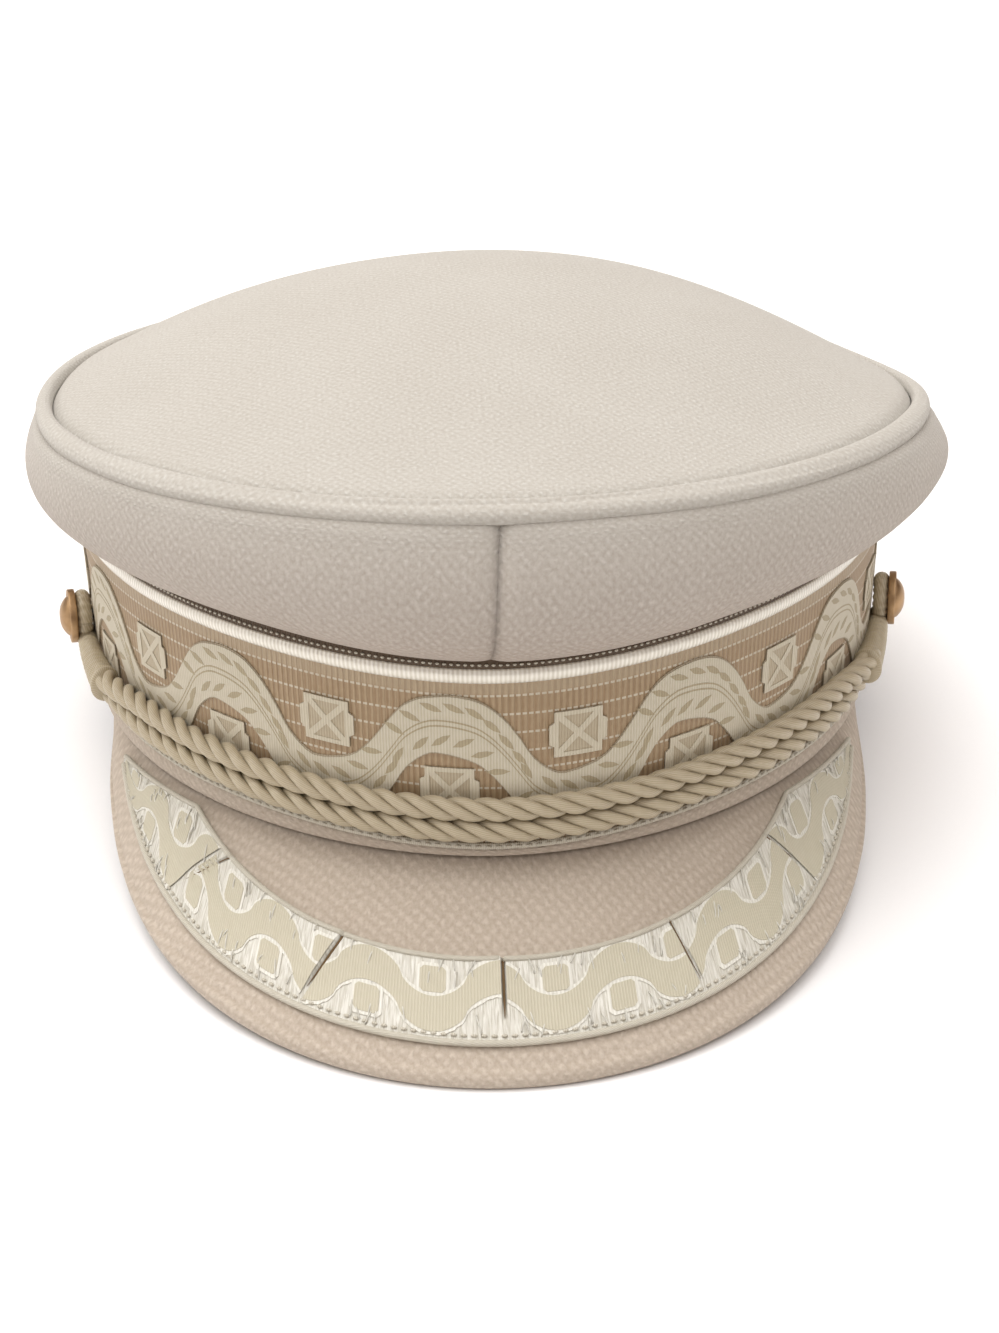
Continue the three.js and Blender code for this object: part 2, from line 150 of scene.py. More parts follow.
def finish(name, **shader):
    """A new material with its tree, shader node and UV output."""
    made = bpy.data.materials.new(name)
    made.use_nodes = True
    tree = made.node_tree
    base = tree.nodes["Principled BSDF"]
    for key, value in shader.items():
        base.inputs[key.replace("_", " ")].default_value = value
    cut = node(tree, "ShaderNodeUVMap", {"uv_map": "cut"}).outputs["UV"]
    return made, tree, base, cut


def blend(tree, share, first, second):
    """Colour output between two colours, each a hex string or another colour output."""
    mixed = node(tree, "ShaderNodeMix", {"data_type": "RGBA"}, {0: share})
    for socket, colour in ((6, first), (7, second)):
        if isinstance(colour, str):
            mixed.inputs[socket].default_value = linear(colour)
        else:
            tree.links.new(colour, mixed.inputs[socket])
    return mixed.outputs[2]


def sums(tree, operation, first, second):
    """Output of a maths node on two numbers or outputs."""
    made = node(tree, "ShaderNodeMath", {"operation": operation})
    for socket, value in enumerate((first, second)):
        if isinstance(value, (int, float)):
            made.inputs[socket].default_value = value
        else:
            tree.links.new(value, made.inputs[socket])
    return made.outputs[0]


def emboss(tree, base, height, distance, strength=1.0):
    """Bump of that height in metres."""
    settings = {"Distance": distance, "Strength": strength}
    bump = node(tree, "ShaderNodeBump", settings, {"Height": height})
    tree.links.new(bump.outputs["Normal"], base.inputs["Normal"])


print("colour check:", [round(v, 3) for v in linear("C9BBAE")])

# %% [markdown]
# ### Wool twill
# The cap's cloth is a heavy wool twill, milled until it is slightly fuzzy: fine diagonal
# ribs, a soft grain and very little shine. A real rib is about 0.7 mm wide, which this
# picture can't show, so it is drawn at 1.4 mm. Rough, with a little sheen for the nap.

# %% Wool twill
RIB = 1.35


def wool_twill(name, light, dark, lean=1, rib=RIB, weave=0.38, shaded_foot=None):
    """Twill; the last argument gives two colours of painted shade at the foot of the panel,
    under the crown's lip, fading upwards.
    """
    made, tree, base, cut = finish(name, Roughness=0.92, Sheen_Weight=0.1,
                                   Sheen_Roughness=0.6, Specular_IOR_Level=0.2)
    waves = []
    for turn, pitch in ((lean, rib), (-lean, rib * 1.1)):  # the rib, and dashes along it
        slant = node(tree, "ShaderNodeMapping", {"Scale": (turn, 1, 1)}, {"Vector": cut})
        wave = node(tree, "ShaderNodeTexWave",
                    {"bands_direction": "DIAGONAL", "Scale": 0.444 / pitch,
                     "Distortion": 2.4, "Detail": 3.0, "Detail Scale": 2.2},
                    {"Vector": slant.outputs[0]})
        waves.append(wave.outputs["Fac"])
    grain = node(tree, "ShaderNodeTexNoise", {"Scale": 1.4, "Detail": 4.0},
                 {"Vector": cut})
    cloud = node(tree, "ShaderNodeTexNoise", {"Scale": 0.035, "Detail": 2.0},
                 {"Vector": cut})
    nap = sums(tree, "MULTIPLY", waves[0], sums(tree, "ADD", waves[1], 0.3))
    nap = sums(tree, "MULTIPLY", nap, grain.outputs["Fac"])
    share = sums(tree, "ADD", sums(tree, "MULTIPLY", nap, weave),
                 sums(tree, "MULTIPLY", grain.outputs["Fac"], 0.9))
    share = sums(tree, "ADD", share, sums(tree, "MULTIPLY", cloud.outputs["Fac"], 0.2))
    colour = blend(tree, share, dark, light)
    # painted shade: darker at the panel's foot, where the lip shades it, fading out upwards
    if shaded_foot:
        up = node(tree, "ShaderNodeSeparateXYZ", {}, {0: cut}).outputs[1]
        fade = node(tree, "ShaderNodeMapRange", {"From Min": 2.0, "From Max": 34.0}, {0: up})
        colour = blend(tree, fade.outputs[0], blend(tree, share, *shaded_foot), colour)
    tree.links.new(colour, base.inputs["Base Color"])
    height = sums(tree, "ADD", nap, grain.outputs["Fac"])
    emboss(tree, base, height, 0.00022, 0.7)
    return made


WOOL = wool_twill("wool_twill", "C0BDB5", "988F83")
# the side panels carry painted shade at their foot, under the crown's lip
WOOL_SIDE = wool_twill("wool_twill_side", "C0BCB4", "988F83", shaded_foot=("7F6E61", "B3A599"))
WOOL_PEAK = wool_twill("wool_twill_peak", "C5B9AA", "9C8D7C", 1, 1.8, 0.65)
print("materials:", WOOL.name, WOOL_SIDE.name, WOOL_PEAK.name)

# %% [markdown]
# ### Ribbon threads
# The ribbon is a jacquard: a gold-brown ground of fine upright ribs crossed by rows of
# pale dashes, cream figures of matte thread floating over it, and a satin stripe along the
# top edge whose long smooth threads shine. Real threads lie 0.3 mm apart; they are drawn
# at 0.6 mm so that they show.

# %% Ribbon ground
THREAD = 0.6


def ribs(tree, cut, pitch, distortion=0.4):
    """Upright ribs of a pitch in mm."""
    settings = {"bands_direction": "X", "Scale": 0.314 / pitch, "Distortion": distortion,
                "Detail": 1.0, "Detail Scale": 3.0}
    return node(tree, "ShaderNodeTexWave", settings, {"Vector": cut}).outputs["Fac"]


def jacquard_ground(name, light, dark, dash, rows, row_pitch, top, pale, lip_shadow):
    """Ribbed ground with rows of dashes. Above the height top it turns paler, and at its top
    edge, just under the crown's lip, it is painted dark as the lip's shadow."""
    made, tree, base, cut = finish(name, Roughness=0.62, Sheen_Weight=0.1)
    rib = ribs(tree, cut, 1.25)
    fine = ribs(tree, cut, THREAD)
    apart = node(tree, "ShaderNodeSeparateXYZ", {}, {0: cut})
    across, height = apart.outputs[0], apart.outputs[1]
    # rows of dashes: a narrow line in every row, broken along it
    along = sums(tree, "FRACT", sums(tree, "DIVIDE", across, 1.25), 0)
    row = sums(tree, "FRACT", sums(tree, "DIVIDE", sums(tree, "ADD", height, rows),
                                   row_pitch), 0)
    line = sums(tree, "LESS_THAN", row, 0.12)
    dashes = sums(tree, "MULTIPLY", line, sums(tree, "LESS_THAN", along, 0.7))
    grain = node(tree, "ShaderNodeTexNoise", {"Scale": 0.8, "Detail": 2.0}, {"Vector": cut})
    share = sums(tree, "ADD", sums(tree, "MULTIPLY", rib, 0.55),
                 sums(tree, "MULTIPLY", grain.outputs["Fac"], 0.4))
    colour = blend(tree, share, dark, light)
    colour = blend(tree, sums(tree, "MULTIPLY", dashes, 0.75), colour, dash)
    above = node(tree, "ShaderNodeMapRange",
                 {"From Min": top - 0.4, "From Max": top + 0.4}, {0: height})
    colour = blend(tree, sums(tree, "MULTIPLY", above.outputs[0], 0.25), colour, pale)
    # painted shadow: just under the crown's lip the ribbon is darkened as the lip's shadow
    edge = node(tree, "ShaderNodeMapRange", {"From Min": 43.5, "From Max": 43.8}, {0: height})
    colour = blend(tree, edge.outputs[0], colour, lip_shadow)
    tree.links.new(colour, base.inputs["Base Color"])
    relief = sums(tree, "ADD", sums(tree, "ADD", rib, fine), dashes)
    emboss(tree, base, relief, 0.00015, 0.7)
    return made


# the last colour is the painted shadow of the crown's lip along the ribbon's top edge
GROUND = jacquard_ground("jacquard_ground", "AD9778", "896F4F", "CDC5B2", 2.2, 4.0,
                         38.2, "C2B7A0", "574633")
print("material:", GROUND.name)

# %% Figure, satin and cord threads
def woven(name, light, dark, pitch, roughness, depth=0.00012, sheen=0.1):
    """Threads lying side by side across the cut, matte or glossy."""
    made, tree, base, cut = finish(name, Roughness=roughness, Sheen_Weight=sheen)
    thread = ribs(tree, cut, pitch, 0.3)
    grain = node(tree, "ShaderNodeTexNoise", {"Scale": 0.5, "Detail": 3.0}, {"Vector": cut})
    share = sums(tree, "ADD", sums(tree, "MULTIPLY", thread, 0.6),
                 sums(tree, "MULTIPLY", grain.outputs["Fac"], 0.45))
    tree.links.new(blend(tree, share, dark, light), base.inputs["Base Color"])
    emboss(tree, base, thread, depth, 0.6)
    return made


FIGURE = woven("figure_thread", "CBC4B3", "B3A98F", THREAD, 0.7)
FIGURE_SQUARE = woven("square_thread", "CBC3AF", "B4AA92", THREAD, 0.7)
FIGURE_SHADE = woven("figure_shade_thread", "B0A48E", "95876E", THREAD, 0.75)
VEIN = woven("vein_thread", "B0A387", "94886C", THREAD, 0.75)
WINDOW = woven("window_thread", "B9AD95", "9E9077", THREAD, 0.75)
SATIN = woven("satin_thread", "F7F4EA", "CFC8B8", 0.9, 0.27, 0.00012)
# smooth floats throw back a little of their light as a metal does
SATIN.node_tree.nodes["Principled BSDF"].inputs["Metallic"].default_value = 0.15
OUTLINE_PEAK = woven("peak_outline_thread", "E5E3D9", "CFCCC0", 0.8, 0.35)
FIGURE_PEAK = woven("peak_figure_thread", "C8C2AE", "B7B098", THREAD, 0.6)
CORD = woven("rayon_cord", "C0B59D", "9C8D6F", 0.45, 0.4, 0.00003)
# painted shadow: a dark brown tube lying in each tuck's slit
TUCK_SHADE = woven("tuck_slit_shade", "8A6C48", "66502F", 0.4, 0.8)
STITCH = woven("stitching_thread", "D3CEC0", "B2AB98", 0.4, 0.6)


def satin_floats(name, light, dark):
    """Long glossy threads, uneven and partly worked loose."""
    made, tree, base, cut = finish(name, Roughness=0.3, Sheen_Weight=0.05)
    drawn = node(tree, "ShaderNodeMapping", {"Scale": (2.4, 0.22, 1)}, {"Vector": cut})
    thread = node(tree, "ShaderNodeTexNoise", {"Scale": 1.0, "Detail": 3.0,
                                               "Distortion": 0.6}, {"Vector": drawn.outputs[0]})
    spread = node(tree, "ShaderNodeMapRange", {"From Min": 0.35, "From Max": 0.65},
                  {0: thread.outputs["Fac"]})
    tree.links.new(blend(tree, spread.outputs[0], dark, light), base.inputs["Base Color"])
    emboss(tree, base, thread.outputs["Fac"], 0.00035, 0.7)
    return made


SATIN_PEAK = satin_floats("peak_satin_thread", "DFDDD3", "B9B4A5")
LINING = wool_twill("lining_twill", "A0988D", "80756B")
print("materials:", ", ".join(m.name for m in (FIGURE, SATIN, CORD, STITCH, LINING)))

# %% [markdown]
# ### Gilt brass
# The buttons are stamped brass with a worn gilt wash: a metal with warm colour, darker in
# patches, and a roughness that changes a little over the dome where it was handled.

# %% Gilt brass
GILT, tree, base, cut = finish("gilt_brass", Metallic=1.0, Roughness=0.34)
here = node(tree, "ShaderNodeTexCoord").outputs["Object"]
wear = node(tree, "ShaderNodeTexNoise", {"Scale": 420.0, "Detail": 4.0}, {"Vector": here})
tree.links.new(blend(tree, wear.outputs["Fac"], "836544", "C0A17C"), base.inputs["Base Color"])
rough = node(tree, "ShaderNodeMapRange", {"To Min": 0.32, "To Max": 0.55},
             {0: wear.outputs["Fac"]})
tree.links.new(rough.outputs[0], base.inputs["Roughness"])
emboss(tree, base, wear.outputs["Fac"], 0.00005)
print("material:", GILT.name)

# %% [markdown]
# ### Studio floor
# Matte white paper, a trace of grain so that it isn't a perfect plane of colour.

# %% Studio paper
PAPER, tree, base, cut = finish("studio_paper", Roughness=0.95)
here = node(tree, "ShaderNodeTexCoord").outputs["Object"]
grain = node(tree, "ShaderNodeTexNoise", {"Scale": 900.0}, {"Vector": here})
tree.links.new(blend(tree, grain.outputs["Fac"], "F6F6F6", "F8F8F8"),
               base.inputs["Base Color"])
floor.data.materials.append(PAPER)
print("material:", PAPER.name)

# %% [markdown]
# ## How a cloth is laid
# A hatter cuts a flat panel and stretches it over a block. Here a flat grid is the panel:
# it is added as a primitive, and each of its points is laid on the block by a formula that
# takes the point's share of the way along and across. The grid's UV map becomes the cut in
# millimetres. Sculpting by hand would look as soft but wouldn't meet the CAD's curves.

# %% Laying a grid on the block
made_triangles = {}


def solo(obj):
    bpy.ops.object.select_all(action="DESELECT")
    obj.select_set(True)
    bpy.context.view_layer.objects.active = obj


def apply(obj, kind, **settings):
    """Adds a modifier with its settings and applies it."""
    solo(obj)
    modifier = obj.modifiers.new(kind.lower(), kind)
    for key, value in settings.items():
        setattr(modifier, key, value)
    bpy.ops.object.modifier_apply(modifier=modifier.name)


def weld(obj, distance=2e-6):
    solo(obj)
    bpy.ops.object.mode_set(mode="EDIT")
    bpy.ops.mesh.select_all(action="SELECT")
    bpy.ops.mesh.remove_doubles(threshold=distance)
    bpy.ops.object.mode_set(mode="OBJECT")


def face_out(obj):
    solo(obj)
    bpy.ops.object.mode_set(mode="EDIT")
    bpy.ops.mesh.select_all(action="SELECT")
    bpy.ops.mesh.normals_make_consistent(inside=False)
    bpy.ops.object.mode_set(mode="OBJECT")


def lay(name, columns, rows, place, cut):
    """A grid laid by place(s, t) in level mm, with its cut(s, t) in mm as UV map."""
    bpy.ops.object.select_all(action="DESELECT")
    bpy.ops.mesh.primitive_grid_add(x_subdivisions=columns, y_subdivisions=rows, size=1)
    obj = bpy.context.object
    obj.name = obj.data.name = name
    layer = obj.data.uv_layers[0]
    layer.name = "cut"
    for corner in obj.data.loops:
        at = obj.data.vertices[corner.vertex_index].co
        layer.data[corner.index].uv = cut(at.x + 0.5, at.y + 0.5)
    for vertex in obj.data.vertices:
        vertex.co = rest(*place(vertex.co.x + 0.5, vertex.co.y + 0.5))
    return obj


def done(obj, material, slot, *nodes, smooth=True):
    """Finish and the CAD nodes that a piece stands for, under the root body; the slot is not
    used.
    """
    solo(obj)
    if smooth:
        bpy.ops.object.shade_smooth()
    obj.data.materials.clear()
    obj.data.materials.append(material)
    obj.data.name = obj.name
    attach(obj, "root")
    if nodes:
        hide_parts(*nodes)
    obj.data.calc_loop_triangles()
    made_triangles[obj.name] = len(obj.data.loop_triangles)
    print(obj.name, "triangles:", made_triangles[obj.name])
    return obj


# %% [markdown]
# ## The block's curves
# The band is a superellipse, long from front to back, that flares a little upwards. The
# crown's outline is a wider one, set forward. These are the CAD's own numbers, in
# millimetres, and angles run from the front, positive towards +X.

# %% Curves of band and crown
HALF_WIDTH, HALF_LENGTH, HEAD_POWER, FLARE = 85.8, 100.8, 1.9, 0.05
BAND_TOP, RIBBON_FACE = 43.9, 1.2
WELT_RISE, WELT_TIP, DOME_RISE = 22.4, 8.6, 25.1  # mm above the band, tip, above the welt
CROWN_FORWARD = 2.5  # mm that the crown's outline is set forward


def oval(width, length, power, angle):
    s, c = math.sin(angle), math.cos(angle)
    r = (abs(s / width) ** power + abs(c / length) ** power) ** (-1 / power)
    return r * s, -r * c


def band_point(angle, height, out):
    grown = out + FLARE * height
    x, y = oval(HALF_WIDTH + grown, HALF_LENGTH + grown, HEAD_POWER, angle)
    return x, y, height


def front(angle, power):
    return max(0.0, math.cos(angle)) ** power


def sag(angle):
    """How far the ribbon dips at the front."""
    return 2.5 * front(angle, 12)


def welt_height(angle):
    return BAND_TOP + WELT_RISE + WELT_TIP * math.cos(angle)


def crown_outline(angle, inset):
    x, y = oval(98.5 - inset, 109 - inset, 2.05, angle)
    return x, y - CROWN_FORWARD


def wander(x, y, z, scale, seed=0.0):
    """Smooth noise from -1 to 1, for cloth that is never quite even."""
    return noise.noise(Vector((x / scale + seed, y / scale, z / scale)))


STEPS = 1440
girth = [0.0]
for i in range(STEPS):
    a, b = (math.pi * k / STEPS for k in (i, i + 1))
    p, q = band_point(a, 20, RIBBON_FACE), band_point(b, 20, RIBBON_FACE)
    girth.append(girth[-1] + math.hypot(q[0] - p[0], q[1] - p[1]))
HALF_GIRTH = girth[-1]


def ribbon_angle(along):
    """Angle of a place along the ribbon, in mm from the front."""
    away = min(abs(along), HALF_GIRTH)
    low, high = 0, STEPS
    while high - low > 1:
        middle = (low + high) // 2
        low, high = (middle, high) if girth[middle] <= away else (low, middle)
    share = (away - girth[low]) / (girth[high] - girth[low])
    return math.copysign(math.pi * (low + share) / STEPS, along)


print("ribbon girth, mm:", round(2 * HALF_GIRTH, 1))

# %% [markdown]
# ## Crown sides
# Two panels, sewn together at the front and the back, rise from the ribbon in a puffed
# roll and slope in to the welt. A lofted section gives the roll, the first rows turn
# sharply out over the ribbon so that the lip hangs a little, and the last few millimetres
# before each seam dip where the stitches pull the cloth in.

# %% How the crown has settled
# The worn crown isn't even: towards the back on the right it has sunk, and beside both
# ears the welt is pulled narrow.
def settle(x, y, z):
    angle = math.degrees(math.atan2(x, -y - CROWN_FORWARD))
    sunk = 4.9 * math.exp(-(((angle - 112) / 32) ** 2)) if angle > 0 else 0.0
    outward = min(1.0, math.hypot(x / 96, (y + CROWN_FORWARD) / 106)) ** 4
    raised = min(1.0, max(0.0, (z - 46) / 14))
    return x, y, z - sunk * outward * raised


def ear(angle, left, right):
    """A value beside the left or right ear, fading to 0 away from it."""
    return abs(math.sin(angle)) ** 8 * (left if math.sin(angle) < 0 else right)


def rim_inset(angle):
    return ear(angle, 2.4, 0.8)


print("welt's outer edge pulled in, mm:", rim_inset(-math.pi / 2), rim_inset(math.pi / 2))

# %% Side panels
SIDE_ROWS = ((0.02, 0, 0), (0.01, 0.1, 0.9), (0.02, 0.34, 1.3), (0.06, 0.56, 1.4),
             (0.11, 0.72, 1.2), (0.18, 0.88, 0.8), (0.3, 1, 0.4), (0.44, 1, 0.1),
             (0.6, 0.86, 0), (0.75, 0.61, 0), (0.88, 0.34, 0), (0.97, 0.14, 0),
             (1.03, -0.1, 0), (1.05, -0.3, 0))


def curve_through(rows, t):
    """Catmull-Rom through rows of numbers, t from 0 to 1."""
    place = t * (len(rows) - 1)
    i = min(int(place), len(rows) - 2)
    f = place - i
    four = [rows[max(0, min(len(rows) - 1, k))] for k in (i - 1, i, i + 1, i + 2)]
    weights = (-f + 2 * f**2 - f**3, 2 - 5 * f**2 + 3 * f**3,
               f + 4 * f**2 - 3 * f**3, f**3 - f**2)
    return [sum(w * r[k] for w, r in zip(weights, four)) / 2 for k in range(len(rows[0]))]


def side_point(angle, t, inwards=0.0):
    up, out, lift = curve_through(SIDE_ROWS, t)
    lifted = 1.3 + 0.6 * math.exp(-(((math.degrees(angle) + 24) / 20) ** 2))
    foot = BAND_TOP + 0.3 + lifted - sag(angle)
    root = band_point(angle, foot, 0.3)
    rim = crown_outline(angle, rim_inset(angle))
    rim_height = welt_height(angle) - 2.2
    length = math.hypot(rim[0], rim[1] + CROWN_FORWARD)
    away = (rim[0] / length, (rim[1] + CROWN_FORWARD) / length)
    push = (8.2 + ear(angle, -0.7, 2.0)) * out - inwards
    x = root[0] + (rim[0] - root[0]) * up + away[0] * push
    y = root[1] + (rim[1] - root[1]) * up + away[1] * push
    z = foot + (rim_height - foot) * up + 1.5 * lift * math.sin(angle) ** 2
    return settle(x, y, z)


def side_panel(side):
    def place(s, t):
        slant = (-1.4 + 2.5 * t) / 105  # the front seam leans a little
        angle = side * math.pi * s + slant * (1 - s)
        to_seam = min(s, 1 - s) * 300  # mm to the nearer seam
        dip = 1.3 * math.exp(-((to_seam / 1.3) ** 2)) + 0.35 * math.exp(-to_seam / 9)
        x, y, z = side_point(angle, t)
        dip -= 0.45 * wander(x, y, z, 34) + 0.2 * wander(x, y, z, 11, 5.0) * (1 - t)
        return side_point(angle, t, dip * min(1, 4 * t + 0.2))

    name = "wool_side_left" if side < 0 else "wool_side_right"
    panel = lay(name, 210, 44, place, lambda s, t: (side * 300 * s, 40 * t))
    if side < 0:
        solo(panel)
        bpy.ops.object.mode_set(mode="EDIT")
        bpy.ops.mesh.select_all(action="SELECT")
        bpy.ops.mesh.flip_normals()
        bpy.ops.object.mode_set(mode="OBJECT")
    apply(panel, "SOLIDIFY", thickness=0.0019, offset=-1)
    node_name = "crown_side_left" if side < 0 else "crown_side_right"
    return done(panel, WOOL_SIDE, "wool", node_name)


for side in (-1, 1):
    side_panel(side)

# %% [markdown]
# ## Crown top and welt
# The top is one oval piece, domed over the head and pulled down into the seam all round.
# Between it and the sides runs the welt, a strip of the same cloth folded over and sewn in,
# which stands up as a flat roll. The roll's section is a flattened ring swept round the
# outline; its two crevices draw the dark lines of the seam.

# %% Crown top
def top_point(angle, reach):
    ox, oy = crown_outline(angle, 5.0 - ear(angle, -0.4, 0.9))
    x, y = ox * reach, (oy + CROWN_FORWARD) * reach - CROWN_FORWARD
    rim = welt_height(angle) + 1.45
    peak = BAND_TOP + WELT_RISE + DOME_RISE
    z = rim + (peak - rim) * max(0.0, 1 - reach**2) ** 1.24
    z += 0.7 * wander(x, y, 0, 60, 2.0) * (1 - reach**4)
    puff = sum(high * math.exp(-(((math.degrees(angle) % 360 - at) / 34) ** 2))
               for high, at in ((1.3, 122), (2.0, 236)))
    z += puff * 4 * reach**2 * (1 - reach**2)
    tuck_in = max(0.0, reach - 0.965) / 0.035
    return settle(x, y, z - 2.6 * tuck_in**2)


def dome(s, t):
    # t runs from the centre outwards, closer together near the seam
    return top_point(2 * math.pi * s, 1 - (1 - t) ** 1.25)


def flat_top(s, t):
    return dome(s, t)[:2]


top = lay("wool_crown_top", 144, 52, dome, flat_top)
weld(top)
face_out(top)
apply(top, "SOLIDIFY", thickness=0.0018, offset=-1)
done(top, WOOL, "wool", "crown_top")

# %% Welt
WELT_WIDTH, WELT_THICK, WELT_LEAN = 5.5, 3.4, 0.44


def superring(turn, power):
    """Point of a flattened ring; a power above 2 squares it."""
    c, s = math.cos(turn), math.sin(turn)
    return (math.copysign(abs(c) ** (2 / power), c), math.copysign(abs(s) ** (2 / power), s))


def welt_point(s, t):
    angle, turn = 2 * math.pi * s, 2 * math.pi * t
    width = WELT_WIDTH - ear(angle, 2.2, 1.9)
    cx, cy = crown_outline(angle, rim_inset(angle) + width / 2)
    length = math.hypot(cx, cy + CROWN_FORWARD)
    away = (cx / length, (cy + CROWN_FORWARD) / length)
    c, o = superring(turn, 2.5)
    size = 1 + 0.07 * wander(cx, cy, 0, 26, 8.0)
    for at, lean in ((1.35, 0.5), (2.1, -0.4)):  # two creases that wander along it
        gap = turn - at - lean * math.sin(3 * angle + at)
        size -= 0.15 * math.exp(-((gap / 0.22) ** 2)) * (0.5 + 0.5 * math.sin(2 * angle + at))
    across, over = c * width / 2 * size, o * WELT_THICK / 2 * size
    out = across * math.cos(WELT_LEAN) + over * math.sin(WELT_LEAN)
    rise = -across * math.sin(WELT_LEAN) + over * math.cos(WELT_LEAN)
    return settle(cx + away[0] * out, cy + away[1] * out, welt_height(angle) + rise)


welt = lay("wool_welt", 288, 40, welt_point, lambda s, t: (600 * s, 14 * t))
weld(welt)
face_out(welt)
done(welt, WOOL, "wool", "crown_welt")

# %% [markdown]
# ## Band
# Inside the ribbon is a wall of doubled cloth that takes the head, and its lower edge is
# turned up over a filler to make a thin roll all round. Both are rings of one section,
# followed round the head and rounded at every corner; the wall shows only from below.

# %% Band wall and rolled edge
HEAD_GIRTH = 595  # mm round the wall, for the cut


def band_ring(name, section, columns, material, *nodes):
    """A closed section of (out, up, dips) rows, swept round the band."""
    closed = [*section, section[0]]
    lengths = [0.0]
    for p, q in zip(closed, closed[1:]):
        lengths.append(lengths[-1] + math.hypot(q[0] - p[0], q[1] - p[1]))

    def place(s, t):
        angle, away = 2 * math.pi * s, t * lengths[-1]
        i = max(k for k in range(len(section)) if lengths[k] <= away + 1e-9)
        f = (away - lengths[i]) / (lengths[i + 1] - lengths[i])
        out, up, dips = (closed[i][k] + (closed[i + 1][k] - closed[i][k]) * f
                         for k in range(3))
        return band_point(angle, up - dips * sag(angle), out)

    rows = len(section) * 4
    obj = lay(name, columns, rows, place, lambda s, t: (HEAD_GIRTH * s, lengths[-1] * t))
    weld(obj, 5e-6)
    face_out(obj)
    return done(obj, material, "wool", *nodes)


wall = [(-2.2, 1.2, 0), (-1.5, 0.4, 0), (-0.6, 0.4, 0), (-0.05, 1.2, 0), (-0.05, 22, 1),
        (-0.05, 44.8, 1), (-0.5, 45.4, 1), (-1.8, 45.4, 1), (-2.2, 44.8, 1), (-2.2, 22, 1)]
band_ring("lining_band", wall, 160, LINING, "band")

roll = [(0.45 + 0.8 * math.cos(a), 2.3 + 2.2 * math.sin(a), 0.5 + 0.5 * math.sin(a))
        for a in [2 * math.pi * k / 14 for k in range(14)]]
band_ring("wool_edge_roll", roll, 220, WOOL_PEAK, "band")

# %% [markdown]
# ## Band ribbon
# The ground of the ribbon is a plain sheet round the band. What is woven over it comes
# next, on a map that tells where a place on the flat ribbon lies on the cap: millimetres
# along from the front, height above the foot, and how far it stands proud.

# %% Ribbon ground
SEWN_FOOT, TURNED_TOP = 4.7, 46.8


def mix(a, b, t):
    return a + (b - a) * t


def on_ribbon(along, height, proud=0.0):
    angle = ribbon_angle(along)
    return band_point(angle, height - sag(angle), RIBBON_FACE + proud)


def ground_point(s, t):
    along = HALF_GIRTH * (2 * s - 1)
    height = mix(SEWN_FOOT, TURNED_TOP, t)
    selvedge = 0.2 * math.exp(-(((height - SEWN_FOOT) / 0.7) ** 2))
    turned = 0.3 * max(0.0, height - BAND_TOP)
    return on_ribbon(along, height, selvedge - 0.15 - turned)


ground = lay("ribbon_ground", 400, 44, ground_point,
             lambda s, t: (HALF_GIRTH * (2 * s - 1), mix(SEWN_FOOT, TURNED_TOP, t)))
weld(ground)
apply(ground, "SOLIDIFY", thickness=0.0007, offset=-1)
done(ground, GROUND, "ribbon", "band_ribbon")


def foot_edge(s, t):
    turn = 2 * math.pi * t
    return on_ribbon(HALF_GIRTH * (2 * s - 1), 5.2 + 0.75 * math.cos(turn),
                     0.1 + 0.45 * math.sin(turn))


edge = lay("ribbon_foot_selvedge", 400, 10, foot_edge,
           lambda s, t: (HALF_GIRTH * (2 * s - 1), 4 * t))
weld(edge)
face_out(edge)
done(edge, STITCH, "ribbon")


# %% Satin stripe
STRIPE_FOOT, STRIPE_WIDTH = 40.7, 3.1


def stripe_cut(s, t):
    return HALF_GIRTH * (2 * s - 1), STRIPE_FOOT + STRIPE_WIDTH * t


def stripe_point(s, t):
    crown = 0.55 * (1 - (2 * t - 1) ** 2)
    return on_ribbon(*stripe_cut(s, t), crown - 0.1)


stripe = lay("ribbon_satin", 400, 8, stripe_point, stripe_cut)
weld(stripe)
apply(stripe, "SOLIDIFY", thickness=0.0002, offset=-1)
done(stripe, SATIN, "ribbon", "band_ribbon")

# %% [markdown]
# ## Figures woven on the ribbon
# A broad leafy vine waves along the ribbon, with a crossed square above every trough and
# below every crest. The lower half is the upper one turned over and moved by half a
# repeat, so only one edge and one set of leaf veins is drawn. A figure is a filled
# outline with holes, cut across every few millimetres so that it bends, and then wrapped
# on the band: low darker threads first and paler ones above them.

# %% Outlines of one repeat
REPEAT = 50.2
FIRST = 16.0  # place of an upper square's centre, mm from the front
TURN = 45.9  # twice the height about which the vine turns over

EDGE = ((-3.4, 20.5), (2.2, 21.4), (6, 23), (9.6, 26.8), (12.6, 31), (15.8, 35),
        (19.4, 37.2), (25.4, 38.1), (30.2, 37.3), (33.4, 35.4), (36.4, 32.3),
        (38.9, 28.6), (41, 24.9), (43.6, 22.3), (46.8, 20.5))


def along_edge(x):
    """Height of the vine's upper edge at x from a square's centre."""
    x = (x + 3.4) % REPEAT - 3.4
    i = max(k for k in range(len(EDGE) - 1) if EDGE[k][0] <= x + 1e-9)
    f = (x - EDGE[i][0]) / (EDGE[i + 1][0] - EDGE[i][0])
    f = min(max(f, 0), 1)
    four = [EDGE[k % (len(EDGE) - 1)][1] for k in (i - 1, i, i + 1, i + 2)]
    return (four[1] + four[2]) / 2 + (four[2] - four[1]) * (f - 0.5) + (
        (four[1] - four[0] + four[2] - four[3]) * f * (1 - f) / 4)


def lower_edge(x):
    return TURN - along_edge(x + REPEAT / 2)


